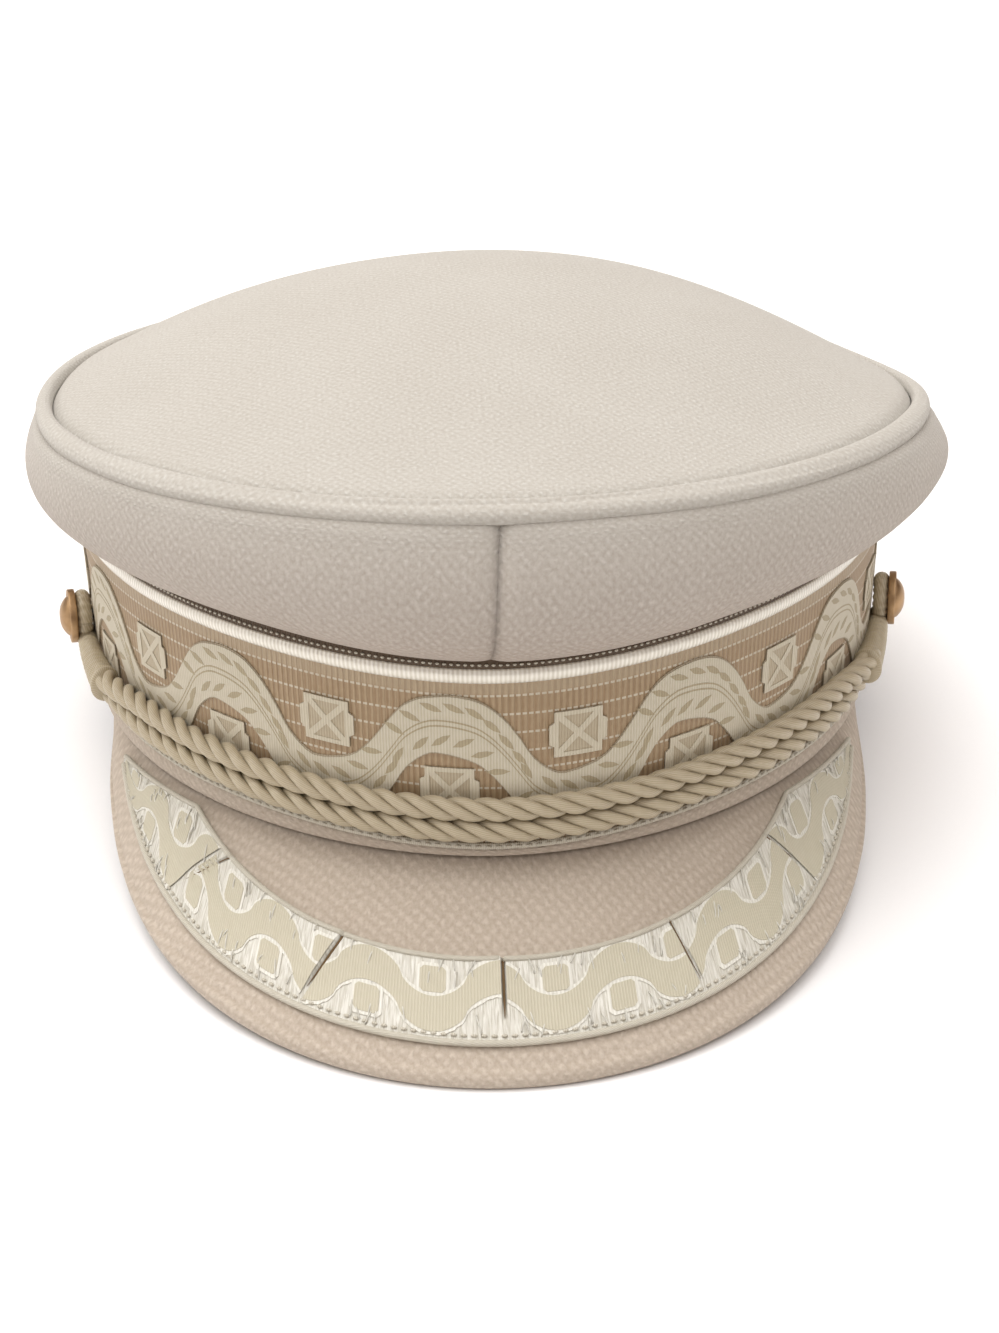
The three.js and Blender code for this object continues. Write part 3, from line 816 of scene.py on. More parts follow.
VEINS_UPPER = ((14.2, 29.9, -30), (17.4, 33, -25), (21.6, 35.3, -20), (26, 35.4, -25),
               (30, 34.4, -35), (33.2, 31.8, -42), (36, 28.3, -50), (38.6, 24.6, -52))
VEINS_LOWER = ((14.8, 24, 60), (19.4, 27.3, 45), (23.4, 28.3, 35), (27.8, 28, 25),
               (31.4, 25.6, 12), (34.4, 21.8, 0))


def wedge(x, z, lean, length=4.7, width=1.35):
    """A vein: a pointed sliver about its centre."""
    c, s = math.cos(math.radians(lean)), math.sin(math.radians(lean))
    shape = ((-0.5, 0), (-0.15, 0.5), (0.2, 0.42), (0.5, 0), (0.2, -0.42), (-0.15, -0.5))
    return [(x + c * length * u - s * width * v, z + s * length * u + c * width * v)
            for u, v in shape]


def turned(points):
    """The same outline on the other edge of the vine, half a repeat on."""
    return [(x - REPEAT / 2, TURN - z) for x, z in points][::-1]


def vine_outline(inset):
    xs = [-REPEAT / 2 + REPEAT * k / 40 for k in range(41)]
    upper = [(x, along_edge(x) - inset) for x in xs]
    lower = [(x, lower_edge(x) + inset) for x in reversed(xs)]
    return upper + lower


veins = [wedge(*v) for v in VEINS_UPPER + VEINS_LOWER]
veins += [turned(v) for v in veins]


def midline(low, high):
    """A thin line along the middle of the vine, between two offsets from it."""
    xs = [-REPEAT / 2 + REPEAT * k / 40 for k in range(41)]
    middle = [(x, (along_edge(x) + lower_edge(x)) / 2 + 0.4) for x in xs]
    return [(x, z + high) for x, z in middle] + [(x, z + low) for x, z in middle[::-1]]


midlines = [midline(-0.75, -0.4), midline(0.4, 0.75)]


def centred(points):
    """Moves an outline by whole repeats so that its middle lies in the repeat's own span."""
    middle = sum(x for x, z in points) / len(points)
    shift = -REPEAT * math.floor(middle / REPEAT + 0.5)
    return [(x + shift, z) for x, z in points]


def square(cx, cz, half, ears, border=0.9, cross=0.9):
    """Border of a crossed square, with a small ear on each side, and its four windows."""
    outline = [(cx - half, cz - half), (cx + half, cz - half), (cx + half, cz - ears),
               (cx + half + 1, cz - ears + 0.6), (cx + half + 1, cz + ears - 0.6),
               (cx + half, cz + ears), (cx + half, cz + half), (cx - half, cz + half),
               (cx - half, cz + ears), (cx - half - 1, cz + ears - 0.6),
               (cx - half - 1, cz - ears + 0.6), (cx - half, cz - ears)]
    near, far = cross, half - border
    window = [(cx - far + near, cz + far), (cx + far - near, cz + far), (cx, cz + near)]
    windows = []
    for turn in range(4):
        c, s = round(math.cos(turn * math.pi / 2)), round(math.sin(turn * math.pi / 2))
        windows.append([(cx + c * (x - cx) - s * (z - cz), cz + s * (x - cx) + c * (z - cz))
                        for x, z in window])
    return outline, windows


print("vine from", round(along_edge(0), 1), "to", round(along_edge(25), 1), "mm high")

# %% Cutting and wrapping figures
def woven_figure(name, loops, low, high, wrap, material, copies, step=3.0, clips=(), rows=()):
    """Fills outlines with holes, cuts them every few mm and wraps one for each copy.
    clips are ((place, lean), keep_before) lines at which the flat figure is cut off, and
    rows are heights at which it is cut too, where the ground rises and dives at a slant."""
    flat = bpy.data.curves.new(name, "CURVE")
    flat.dimensions = "2D"
    flat.fill_mode = "BOTH"
    flat.extrude = 0.5
    for loop in loops:
        spline = flat.splines.new("POLY")
        spline.points.add(len(loop) - 1)
        for point, (x, z) in zip(spline.points, loop):
            point.co = (x, z, 0, 1)
        spline.use_cyclic_u = True
    obj = bpy.data.objects.new(name, flat)
    bpy.context.collection.objects.link(obj)
    solo(obj)
    bpy.ops.object.convert(target="MESH")
    obj = bpy.context.object
    obj.name = obj.data.name = name
    xs = [v.co.x for v in obj.data.vertices]
    bpy.ops.object.mode_set(mode="EDIT")
    cut_at = math.ceil(min(xs) / step) * step
    while cut_at < max(xs):
        bpy.ops.mesh.select_all(action="SELECT")
        bpy.ops.mesh.bisect(plane_co=(cut_at, 0, 0), plane_no=(1, 0, 0))
        cut_at += step
    for row in rows:
        bpy.ops.mesh.select_all(action="SELECT")
        bpy.ops.mesh.bisect(plane_co=(0, row, 0), plane_no=(0, 1, 0))
    for (at, lean), keep_before in clips:
        bpy.ops.mesh.select_all(action="SELECT")
        bpy.ops.mesh.bisect(plane_co=(at - 11 * lean, 0, 0), plane_no=(1, -lean, 0),
                            clear_outer=keep_before, clear_inner=not keep_before,
                            use_fill=True)
    bpy.ops.object.mode_set(mode="OBJECT")
    weld(obj, 1e-3)
    mesh = obj.data
    verts = [(v.co.x, v.co.y, high if v.co.z > 0 else low) for v in mesh.vertices]
    faces = [tuple(p.vertices) for p in mesh.polygons]
    all_verts, all_faces, flat_places = [], [], []
    for shift in copies:
        start = len(all_verts)
        for x, z, proud in verts:
            all_verts.append(rest(*wrap(x + shift, z, proud)))
            flat_places.append((x + shift, z))
        all_faces += [tuple(start + i for i in face) for face in faces]
    wrapped = bpy.data.meshes.new(name)
    wrapped.from_pydata(all_verts, [], all_faces)
    layer = wrapped.uv_layers.new(name="cut")
    for corner in wrapped.loops:
        layer.data[corner.index].uv = flat_places[corner.vertex_index]
    obj.data = wrapped
    face_out(obj)
    if material:
        done(obj, material, "ribbon", smooth=False)
        bpy.ops.object.shade_smooth_by_angle(angle=math.radians(40))
    return obj


ROUND = 12 * REPEAT / 2  # half of the pattern's length round the band
PLAIN = 120.0  # up to here from the front the pattern keeps its true length


def on_band(x, z, proud):
    """A place on the endless pattern, eased a little at the back so that it closes."""
    x = (x + ROUND) % (2 * ROUND) - ROUND
    if abs(x) > PLAIN:
        eased = PLAIN + (abs(x) - PLAIN) * (HALF_GIRTH - PLAIN) / (ROUND - PLAIN)
        x = math.copysign(eased, x)
    return on_ribbon(x, z, proud)


repeats = [FIRST + REPEAT * k for k in range(-6, 6)]
outline, windows = square(0, 28.8, 4.85, 2.6)
outline_low, windows_low = square(REPEAT / 2 - 0.2, TURN - 28.4, 4.85, 2.6)
woven_figure("ribbon_vine_shade", [vine_outline(0)], -0.2, 0.12, on_band, FIGURE_SHADE,
             repeats)
woven_figure("ribbon_vine", [vine_outline(0.3)], -0.2, 0.3, on_band, FIGURE, repeats)
woven_figure("ribbon_veins", midlines + [centred(v) for v in veins], 0.2, 0.33, on_band,
             VEIN, repeats)
woven_figure("ribbon_square_shade", [outline, outline_low], -0.2, 0.2, on_band,
             WINDOW, repeats)
woven_figure("ribbon_squares", [outline, outline_low, *windows, *windows_low], -0.2, 0.34,
             on_band, FIGURE_SQUARE, repeats)

# %% [markdown]
# ## Twisted cords
# Each cord is laid from three strands of rayon that turn round each other about once in
# 16 mm. A strand is a round tube that follows a helix about the cord's own path, so a ring
# of points is swept along it. The three just press on each other, and between them stay
# the deep slanting grooves that make a rope look like one.

# %% Cord strands
LAY, HELIX, STRAND = 15.6, 1.32, 1.12  # mm: one turn, the helix's and a strand's radius
CORD_OUT = RIBBON_FACE + 0.3 + 2.2  # a cord's middle, out from the band
LOWER_CORD, UPPER_CORD = 7.4, 12.1  # mm above the band's foot at the front
CORD_END = math.radians(62.5)


def climb(angle):
    return 4 * (1 - front(angle, 6))


def gather(angle):
    """From 0 to 1 where the two cords draw together before their sleeve."""
    share = min(1.0, max(0.0, (abs(angle) - math.radians(50)) / math.radians(12)))
    return share * share * (3 - 2 * share)


def tube(name, path, radius, sides, twist=0.3):
    """A tube of level mm along path. Its cut runs round it and along it, turned a little."""
    centres = [Vector(p) for p in path]
    rings, along, total = [], [], 0.0
    side_way = Vector((0, 0, 1))
    for i, c in enumerate(centres):
        ahead = (centres[min(i + 1, len(centres) - 1)] - centres[max(i - 1, 0)]).normalized()
        side_way = (side_way - ahead * side_way.dot(ahead)).normalized()
        other = ahead.cross(side_way)
        r = radius(i / (len(centres) - 1)) if callable(radius) else radius
        rings.append([c + (side_way * math.cos(t) + other * math.sin(t)) * r
                      for t in [2 * math.pi * k / sides for k in range(sides)]])
        total += (c - centres[max(i - 1, 0)]).length
        along.append(total)
    verts = [rest(*p) for ring in rings for p in ring]
    faces, uvs = [], []
    for i in range(len(rings) - 1):
        for j in range(sides):
            k = (j + 1) % sides
            faces.append((i * sides + j, i * sides + k, (i + 1) * sides + k,
                          (i + 1) * sides + j))
            for a, b in ((i, j), (i, j + 1), (i + 1, j + 1), (i + 1, j)):
                uvs.append((b * 0.5 + along[a] * twist, along[a]))
    faces.append(tuple(range(sides)))
    faces.append(tuple((len(rings) - 1) * sides + j for j in range(sides)))
    uvs += [(0.0, 0.0)] * sides * 2
    mesh = bpy.data.meshes.new(name)
    mesh.from_pydata(verts, [], faces)
    layer = mesh.uv_layers.new(name="cut")
    for corner, uv in zip(layer.data, uvs):
        corner.uv = uv
    obj = bpy.data.objects.new(name, mesh)
    bpy.context.collection.objects.link(obj)
    return obj


def join(name, parts):
    bpy.ops.object.select_all(action="DESELECT")
    for part in parts:
        part.select_set(True)
    bpy.context.view_layer.objects.active = parts[0]
    if len(parts) > 1:
        bpy.ops.object.join()
    parts[0].name = parts[0].data.name = name
    return parts[0]


def twisted_cord(name, height, start, node_name):
    line = []
    for i in range(301):
        angle = CORD_END * 1.02 * (i / 150 - 1)
        closer = gather(angle) if height > 10 else -gather(angle)
        line.append(Vector(band_point(angle, height + climb(angle) - 0.85 * closer,
                                      CORD_OUT + max(-0.3, 0.8 * closer))))
    strands = []
    for strand in range(3):
        path, travelled = [], 0.0
        for i, centre in enumerate(line):
            travelled += (centre - line[max(i - 1, 0)]).length
            ahead = (line[min(i + 1, 300)] - line[max(i - 1, 0)]).normalized()
            out = ahead.cross(Vector((0, 0, 1))).normalized()
            rise = out.cross(ahead)
            turn = 2 * math.pi * (travelled / LAY + strand / 3) + start
            path.append(centre + (rise * math.cos(turn) + out * math.sin(turn)) * HELIX)
        strands.append(tube(f"strand_{strand}", path, STRAND, 16))
    cord = join(name, strands)
    face_out(cord)
    return done(cord, CORD, "cord", node_name)


twisted_cord("rope_lower", LOWER_CORD, 0.0, "cord_lower")
twisted_cord("rope_upper", UPPER_CORD, 1.9, "cord_upper")

# %% [markdown]
# ## Wound sleeves and loops
# At each side both cords disappear into a sleeve that is wound with thread and tapers up to
# a loop round the button's shank. The winding is a helix, so the sleeve's radius rises and
# falls once in every turn along it, and each ridge leans by its own pitch.

# %% Sleeves
BUTTON_ANGLE, BUTTON_HEIGHT = math.radians(77), 20.5
WINDING = 1.7


def button_frame(side):
    """Seat of a button on the ribbon, the way out and the way along the ribbon."""
    angle = side * BUTTON_ANGLE
    seat = Vector(band_point(angle, BUTTON_HEIGHT, RIBBON_FACE + 0.3))
    before = Vector(band_point(angle - 0.01, BUTTON_HEIGHT, 0))
    after = Vector(band_point(angle + 0.01, BUTTON_HEIGHT, 0))
    along = (after - before).normalized()
    return seat, along.cross(Vector((0, 0, 1))).normalized(), along


def sleeve(side):
    seat, out, along = button_frame(side)
    loop_radius = (3.4 + 3.7) / 2 + 0.3
    middle_height = 7.4 + 2.7 + climb(CORD_END)

    def centre(t):
        angle = side * mix(CORD_END - 0.03, BUTTON_ANGLE, t)
        height = mix(middle_height, BUTTON_HEIGHT - loop_radius, t**1.5)
        thick = mix(6.4, 3.7, t**0.7)
        return Vector(band_point(angle, height, RIBBON_FACE + 0.3 + thick / 2)), thick

    def place(s, t):
        turn, t = 2 * math.pi * s, 1.02 * t
        c, thick = centre(t)
        away = Vector((c.x, c.y, 0)).normalized()
        tall = mix(7.6, 3.7, max(0.0, t) ** 0.6) / 2
        ridge = math.cos(2 * math.pi * (t * 24 / WINDING + s))
        collar = 0.14 * math.exp(-(((t - 0.05) / 0.05) ** 2))
        grow = 1 + 0.1 * ridge * min(1.0, max(0.0, (t - 0.08) / 0.05)) + collar
        radius = grow * math.sqrt(min(1.0, max(0.0, t) / 0.05))
        p = c + away * (math.cos(turn) * thick / 2 * radius)
        return p.x, p.y, p.z + math.sin(turn) * tall * radius

    name = "left" if side < 0 else "right"
    body = lay(f"wound_sleeve_{name}", 28, 110, place, lambda s, t: (20 * s, 21 * t))
    weld(body)
    face_out(body)
    done(body, CORD, "cord", f"cord_end_{name}")
    middle = seat + out * (3.7 / 2 + 0.15)
    ring = []
    for k in range(97):
        turn = 2 * math.pi * k / 96
        ring.append(middle + (along * math.cos(turn) + Vector((0, 0, 1)) * math.sin(turn))
                    * loop_radius)
    loop = tube(f"cord_loop_{name}", ring, lambda t: 1.7 + 0.13 * math.cos(t * 100), 14)
    weld(loop)
    face_out(loop)
    done(loop, CORD, "cord", f"cord_end_{name}")


for side in (-1, 1):
    sleeve(side)

# %% [markdown]
# ## Buttons
# A stamped button is a domed disc with a thin rolled rim and a ring pressed near its edge,
# on a short shank. A cylinder is added at the rim's size, its top is inset and pulled up
# step by step to the dome, the ring is pressed in on the way, and a bevel softens the rim.
# The copy on the other side gets its own mesh.

# %% Button
def select_top(obj):
    """Selects the one face that looks up and lies highest, in edit mode."""
    mesh = bmesh.from_edit_mesh(obj.data)
    for face in mesh.faces:
        face.select = False
    best = max(mesh.faces, key=lambda f: (round(f.calc_center_median().z, 6), f.calc_area()))
    best.select = True
    bmesh.update_edit_mesh(obj.data)


bpy.ops.object.select_all(action="DESELECT")
bpy.ops.mesh.primitive_cylinder_add(vertices=40, radius=0.00595, depth=0.0016,
                                    location=(0, 0, 0.0044))
button = bpy.context.object
bpy.ops.object.transform_apply(location=True)
bpy.ops.object.mode_set(mode="EDIT")
# each step: how far in, and then how far up
select_top(button)
for inset, lift in ((0.0006, 0.0), (0.0003, -0.0003), (0.0005, 0.0), (0.0003, 0.0007),
                    (0.0008, 0.0007), (0.0011, 0.0006), (0.0013, 0.0003)):
    bpy.ops.mesh.inset(thickness=inset, depth=0.0)
    bpy.ops.transform.translate(value=(0, 0, lift))
bpy.ops.object.mode_set(mode="OBJECT")
apply(button, "BEVEL", width=0.00022, segments=2, limit_method="ANGLE")
bpy.ops.mesh.primitive_cylinder_add(vertices=20, radius=0.0017, depth=0.004,
                                    location=(0, 0, 0.002))
shank = bpy.context.object
bpy.ops.object.transform_apply(location=True)
button = join("gilt_button_left", [button, shank])
apply(button, "SUBSURF", levels=1, render_levels=1)
button.data.uv_layers[0].name = "cut"
flat_button = button.data.copy()
for side, name in ((-1, "left"), (1, "right")):
    seat, out, along = button_frame(side)
    piece = button if side < 0 else bpy.data.objects.new("gilt_button_right", flat_button)
    if side > 0:
        bpy.context.collection.objects.link(piece)
    for vertex in piece.data.vertices:
        x, y, z = vertex.co * 1000
        p = seat + along * x + Vector((0, 0, 1)) * y + out * z
        vertex.co = rest(*p)
    face_out(piece)
    done(piece, GILT, "gilt", f"button_{name}", smooth=False)
    bpy.ops.object.shade_smooth_by_angle(angle=math.radians(35))

# %% [markdown]
# ## Peak
# The peak is wool over a stiff core, ruled from the foot of the band out to a curved edge
# and falling towards the front. Its edge is turned over a filler, so one section runs out
# over the top, round the edge and back underneath. A shallow groove marks the row of
# stitches that holds the turned edge.

# %% Peak curves
PEAK_ANGLE, PEAK_THICK = math.radians(84), 3.2


def peak_root(along):
    x, y, _ = band_point(PEAK_ANGLE * along, 0, -1.1)
    return Vector((x, y, -0.3))


def peak_edge(along):
    turn = math.pi / 2 * (along + 0.12 * math.sin(math.pi * along))
    c = max(math.cos(turn), 0.0)
    y = -9 - (138.8 - 9) * c**0.68
    slope = 29.5 / (HALF_LENGTH + 138.8)
    drop = max(slope * (HALF_LENGTH - y) * c**0.22, 1.2)
    return Vector((83 * math.sin(turn), y, -drop))


def peak_point(along, across):
    p = peak_root(along).lerp(peak_edge(along), across)
    p.z += 1.6 * 4 * across * (1 - across) * (1 - along**2)
    return p


def off_peak(along, across, lift):
    """A point above or below the peak's upper face."""
    u = min(max(along, -0.999), 0.999)
    v = min(max(across, 0.001), 0.999)
    du = peak_point(u + 0.001, v) - peak_point(u - 0.001, v)
    dv = peak_point(u, v + 0.001) - peak_point(u, v - 0.001)
    normal = dv.cross(du).normalized()
    normal = normal.lerp(Vector((0, 0, 1)), along**8).normalized()
    return peak_point(along, across) + normal * lift


def peak_depth(along):
    return (peak_edge(along) - peak_root(along)).length


# %% Peak cloth
TOPSTITCH = 3.4  # mm inside the outer edge


def peak_section(s, t):
    along = 2 * s - 1
    depth, half = peak_depth(along), PEAK_THICK / 2
    rim = 1 - half / depth
    if t < 0.46:
        share = (t / 0.46) ** 0.9
        to_edge = (1 - share * rim) * depth
        lift = -0.35 * math.exp(-(((to_edge - TOPSTITCH) / 0.55) ** 2))
        p = peak_point(along, share * rim)
        lift += 0.18 * wander(p.x, p.y, 0, 16, 3.0) + 0.25 * math.exp(-((to_edge - 1.6) ** 2))
        return tuple(off_peak(along, share * rim, lift * min(1, depth / 12)))
    if t > 0.54:
        share = (1 - t) / 0.46
        p = off_peak(along, share * rim, -PEAK_THICK)
        return p.x, p.y, min(p.z, -0.3)
    turn = math.pi / 2 - math.pi * (t - 0.46) / 0.08
    across = rim + math.cos(turn) * half / depth
    return tuple(off_peak(along, across, half * math.sin(turn) - half))


peak = lay("wool_peak", 200, 100, peak_section,
           lambda s, t: tuple(peak_point(2 * s - 1, 1 - abs(2 * t - 1)).xy))
weld(peak, 1e-5)
face_out(peak)
done(peak, WOOL_PEAK, "wool", "peak")

# %% [markdown]
# ## Peak ribbon
# A narrower ribbon lies flat on the peak. It has to turn a tight curve, so it is folded
# into a tuck at five places: on one side the cloth swells up, then it dives into a slit.
# The ribbon is a grid whose columns lean with the tucks and stand closer there, so each
# slit stays sharp. Places on it are millimetres along its middle and out from its outer
# edge, as they were on the flat ribbon.

# %% Where the peak ribbon lies
PEAK_RIBBON, RIBBON_LIFT = 17.4, 0.75


def ribbon_span(along):
    """Outer and inner edge of the peak's ribbon, as shares of the way across."""
    rule = peak_edge(along) - peak_root(along)
    tangent = (peak_edge(along + 0.001) - peak_edge(along - 0.001)).normalized()
    reach = rule.cross(tangent).length
    outer = 1 - mix(7.2, 10.5, along**4) / reach
    return outer, max(outer - PEAK_RIBBON / reach, 3.1 / reach)


ribbon_end = 0.98
while ribbon_span(ribbon_end)[0] - ribbon_span(ribbon_end)[1] < 0.06:
    ribbon_end -= 0.002
middle_run = [(0.0, 0.0)]  # (mm along the ribbon's middle, share along the peak)
for i in range(1, 401):
    share = ribbon_end * i / 400
    ends = [peak_point(a, sum(ribbon_span(a)) / 2) for a in (share - ribbon_end / 400, share)]
    middle_run.append((middle_run[-1][0] + (ends[1] - ends[0]).length, share))
HALF_RUN = middle_run[-1][0]


def peak_share(run):
    """Share along the peak of a place in mm along the ribbon's middle."""
    away = min(abs(run), HALF_RUN - 1e-6)
    low, high = 0, len(middle_run) - 1
    while high - low > 1:
        half = (low + high) // 2
        low, high = (half, high) if middle_run[half][0] <= away else (low, half)
    (r0, s0), (r1, s1) = middle_run[low], middle_run[high]
    return math.copysign(mix(s0, s1, (away - r0) / (r1 - r0)), run)


# place at 11 mm from the outer edge, lean, where the tuck ends, and how deep it is
TUCKS = ((-73.2, 1.17, 5.5, 0.45), (-36.0, 0.5, 4.0, 0.8), (0.2, 0.0, 4.6, 0.9),
         (38.0, -0.3, 3.0, 0.45), (74.0, -0.8, 8.0, 0.5))
SLIT = 0.5  # half the width of a tuck's slit


def tuck_height(run, width):
    """How far the ribbon stands up or dives in at a place."""
    lift = 0.0
    for at, lean, end, depth in TUCKS:
        gap = run - at - lean * (width - 11)
        fade = depth * min(1.0, max(0.0, (width - end) / 4))
        if gap <= -SLIT:
            lift += fade * 0.85 * math.exp((gap + SLIT) / 3.2)
        elif gap < SLIT:
            lift -= fade * 0.6
        else:
            lift += fade * 0.35 * math.exp((SLIT - gap) / 2.5)
    return lift


def on_peak(run, width, proud=0.0):
    share = peak_share(run)
    outer, inner = ribbon_span(share)
    lift = RIBBON_LIFT + tuck_height(run, width) + proud
    lift += 0.12 * wander(run, width, 0, 5, 4.0)
    return tuple(off_peak(share, mix(outer, inner, width / PEAK_RIBBON), lift))


print("peak ribbon length, mm:", round(2 * HALF_RUN, 1))

# %% Peak ribbon ground
stations = [HALF_RUN * (i / 170 - 1) for i in range(341)]
for at, *_ in TUCKS:
    stations = [u for u in stations if abs(u - at) > 0.9]
    stations += [at + gap for gap in (-0.85, -0.65, -SLIT - 0.02, -SLIT + 0.06, 0, SLIT - 0.06,
                                      SLIT + 0.02, 0.65, 0.85)]
stations.sort()


def leaning(run):
    """Lean of the columns at a place: a tuck's own lean there, fading between tucks."""
    total = sum(lean * math.exp(-(((run - at) / 14) ** 2)) for at, lean, *_ in TUCKS)
    return total * min(1.0, (HALF_RUN - abs(run)) / 20)


def ribbon_place(s, t):
    at, width = stations[round(s * (len(stations) - 1))], PEAK_RIBBON * t
    return at + leaning(at) * (width - 11), width


peak_ribbon = lay("peak_ribbon_ground", len(stations) - 1, 24,
                  lambda s, t: on_peak(*ribbon_place(s, t)), ribbon_place)
face_up = peak_ribbon.data.polygons[0].normal.z > 0
if not face_up:
    solo(peak_ribbon)
    bpy.ops.object.mode_set(mode="EDIT")
    bpy.ops.mesh.select_all(action="SELECT")
    bpy.ops.mesh.flip_normals()
    bpy.ops.object.mode_set(mode="OBJECT")
apply(peak_ribbon, "SOLIDIFY", thickness=0.0005, offset=-1)
done(peak_ribbon, SATIN_PEAK, "ribbon", "peak_ribbon")

# %% [markdown]
# ### Figures on the peak ribbon
# The same kind of vine at half the size: the wave fills most of the ribbon and a small
# worn square sits in every bend, all of it outlined in bright white thread. Each stretch
# between two tucks carries its own piece of the pattern, because the fold hides a part of
# it, so a stretch is drawn with its own starting place and cut off along the slits.

# %% Peak vine
WAVE = 26.0


def wave_edge(x, crest):
    """Height of the small vine's upper edge."""
    c = math.cos(2 * math.pi * (x - crest) / WAVE)
    return 12.6 + 3.8 * math.copysign(abs(c) ** 0.65, c)


def wave_band(x0, x1, crest, grow):
    """The small vine as an outline; where it is grown, its edge is a little ragged."""
    xs = [x0 + (x1 - x0) * k / 90 for k in range(91)]
    worn = [grow * (1 + 0.6 * wander(x, grow, 0, 0.9, 11.0)) for x in xs]
    upper = [(x, wave_edge(x, crest) + g) for x, g in zip(xs, worn)]
    lower = [(x, 18.4 - wave_edge(x + WAVE / 2, crest) - g) for x, g in zip(xs, worn)]
    return upper + lower[::-1]


# stretch: its two ends as (place, lean), and where a crest of the vine lies on it
edges = [(-HALF_RUN + 2, 0.0), *[(at, lean) for at, lean, *_ in TUCKS], (HALF_RUN - 2, 0.0)]
CRESTS = (-99.0, -49.5, -26.6, 23.4, 48.5, 97.0)
stretches = [(edges[i], edges[i + 1], CRESTS[i]) for i in range(6)]


def patch(cx, cz, half):
    """A small square with worn corners."""
    short = half * 0.72
    return [(cx - half, cz - short), (cx - short, cz - half), (cx + short, cz - half),
            (cx + half, cz - short), (cx + half, cz + short), (cx + short, cz + half),
            (cx - short, cz + half), (cx - half, cz + short)]


layers = (("peak_outline", OUTLINE_PEAK, 0.7, -0.15, 0.22),
          ("peak_vine", FIGURE_PEAK, 0.0, 0.0, 0.34))
for kind, material, grow, low, high in layers:
    parts = []
    for number, ((at0, lean0), (at1, lean1), crest) in enumerate(stretches):
        x0, x1 = at0 - 9 * abs(lean0) - 1, at1 + 9 * abs(lean1) + 1
        clips = [((at0 + SLIT + 0.05, lean0), False), ((at1 - SLIT - 0.05, lean1), True)]
        places = []
        for k in range(math.floor((x0 - crest) / WAVE), math.ceil((x1 - crest) / WAVE) + 1):
            places += [(crest + WAVE * (k + 0.5), 12.2), (crest + WAVE * k, 6.1)]
        squares = [patch(cx, cz, 2.6 + grow) for cx, cz in places if x0 + 4 < cx < x1 - 4]
        for sort, loops in (("wave", [wave_band(x0, x1, crest, grow)]), ("squares", squares)):
            if loops:
                parts.append(woven_figure(f"{kind}_{sort}_{number}", loops, low, high,
                                          on_peak, None, (0,), step=1.3, clips=clips,
                                          rows=range(2, 17, 2)))
    piece = join(kind, parts)
    done(piece, material, "ribbon", smooth=False)
    bpy.ops.object.shade_smooth_by_angle(angle=math.radians(40))

# %% [markdown]
# ### Selvedges, floats and stitches
# A ribbon ends on both sides in a corded selvedge, it is sewn down with a row of stitches
# just inside it, and the long satin threads between the figures have worked loose. A
# selvedge is a thin tube, a stitch a small capsule that is modelled once and copied, and a
# loose thread a short arched tube with a seeded place.

# %% Selvedges of the peak ribbon
def run_line(width, proud, count=420, inset=1.0):
    span = HALF_RUN - inset
    return [on_peak(span * (2 * k / (count - 1) - 1), width, proud) for k in range(count)]


for name, width, radius in (("peak_selvedge_outer", 0.4, 0.66),
                            ("peak_selvedge_inner", 17.0, 0.56)):
    selvedge = tube(name, run_line(width, 0.0), radius, 10)
    face_out(selvedge)
    done(selvedge, STITCH, "ribbon")

# %% Dark brown tubes in the slits of the tucks, as painted shadow
def swelling(depth):
    """Radius of the dark tube that paints shadow in a tuck's slit: thin where the slit begins.
    """
    return lambda t: (0.08 + 0.22 * min(1, 3 * t)) * depth


# painted shadow: dark tubes lying in the tucks' slits
threads = []
for number, (at, lean, end, depth) in enumerate(TUCKS):
    widths = [mix(end + 0.5, 17.0, k / 16) for k in range(17)]
    path = [on_peak(at + lean * (w - 11), w, 0.26 + 0.15 * (1 - depth)) for w in widths]
    threads.append(tube(f"tuck_{number}", path, swelling(depth), 8))
tuck_slit_shades = join("peak_tuck_slit_shades", threads)
face_out(tuck_slit_shades)
done(tuck_slit_shades, TUCK_SHADE, "ribbon")

# %% Stitches
def capsule(length, radius):
    """One stitch as points and faces: a rounded short thread along X, in mm."""
    bpy.ops.object.select_all(action="DESELECT")
    bpy.ops.mesh.primitive_uv_sphere_add(segments=8, ring_count=6, radius=1)
    model = bpy.context.object
    bpy.ops.object.mode_set(mode="EDIT")
    bpy.ops.mesh.select_all(action="SELECT")
    bpy.ops.transform.resize(value=(length / 2, radius, radius))
    bpy.ops.object.mode_set(mode="OBJECT")
    points = [v.co.copy() for v in model.data.vertices]
    faces = [tuple(p.vertices) for p in model.data.polygons]
    bpy.data.objects.remove(model)
    return points, faces


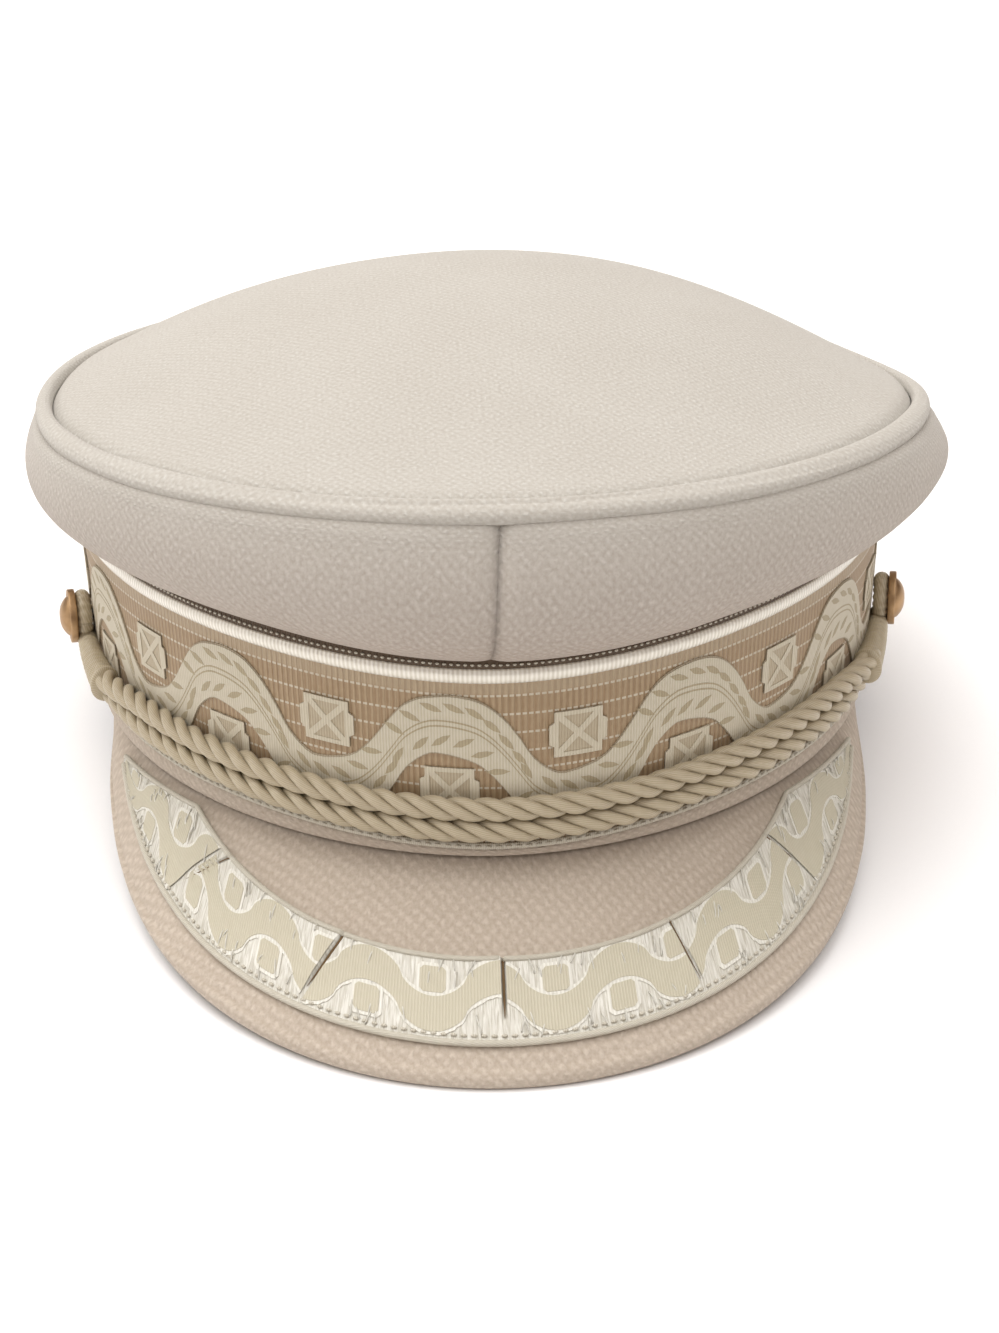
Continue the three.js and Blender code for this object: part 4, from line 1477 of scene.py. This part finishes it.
def sew(name, model, line, every, material, slot):
    """Copies of a stitch along a line of level mm, one every few mm."""
    points, faces = model
    verts, polygons, spots = [], [], []
    line = [Vector(p) for p in line]
    due, travelled = every / 2, 0.0
    for p, q in zip(line, line[1:]):
        length = (q - p).length
        while travelled + length >= due:
            here = p.lerp(q, (due - travelled) / length)
            ahead = (q - p).normalized()
            side_way = ahead.cross(Vector((0, 0, 1))).normalized()
            over = side_way.cross(ahead)
            start = len(verts)
            for v in points:
                verts.append(rest(*(here + ahead * v.x + side_way * v.y + over * v.z)))
                spots.append((v.x + due, v.y))
            polygons += [tuple(start + i for i in face) for face in faces]
            due += every
        travelled += length
    mesh = bpy.data.meshes.new(name)
    mesh.from_pydata(verts, [], polygons)
    layer = mesh.uv_layers.new(name="cut")
    for corner in mesh.loops:
        layer.data[corner.index].uv = spots[corner.vertex_index]
    obj = bpy.data.objects.new(name, mesh)
    bpy.context.collection.objects.link(obj)
    return done(obj, material, slot)


sew("peak_ribbon_stitches", capsule(1.3, 0.34), run_line(1.75, 0.2), 1.95, STITCH, "ribbon")
ring_run = [HALF_GIRTH * (k / 600 - 1) for k in range(1201)]
sew("ribbon_picots", capsule(0.8, 0.24), [on_ribbon(u, 44.6, -0.15) for u in ring_run], 1.35,
    STITCH, "ribbon")
sew("ribbon_foot_stitches", capsule(1.4, 0.3), [on_ribbon(u, 5.3, 0.5) for u in ring_run],
    2.0, STITCH, "ribbon")

# %% Loose satin threads
random.seed(7)
threads = []
for number in range(150):
    run = random.uniform(-HALF_RUN + 8, HALF_RUN - 8)
    width = random.choice((random.uniform(1.8, 5), random.uniform(12, 16.5)))
    if any(abs(run - at - lean * (width - 11)) < 2.5 for at, lean, *_ in TUCKS):
        continue
    length, drift = random.uniform(2.0, 4.0), random.uniform(-1.3, 1.3)
    ends = (max(0.8, width - length / 2), min(16.8, width + length / 2))
    path = [on_peak(run + drift * (f - 0.5), mix(*ends, f), 0.1 + 0.38 * math.sin(math.pi * f))
            for f in [k / 6 for k in range(7)]]
    threads.append(tube(f"thread_{number}", path, 0.13, 5))
floats = join("peak_loose_threads", threads)
face_out(floats)
done(floats, OUTLINE_PEAK, "ribbon")

# %% [markdown]
# ## Pieces and triangles
# The last cell prints how many pieces were made and how many triangles they hold.

# %% Pieces and triangles
print("pieces:", len(made_triangles), "triangles:", sum(made_triangles.values()))
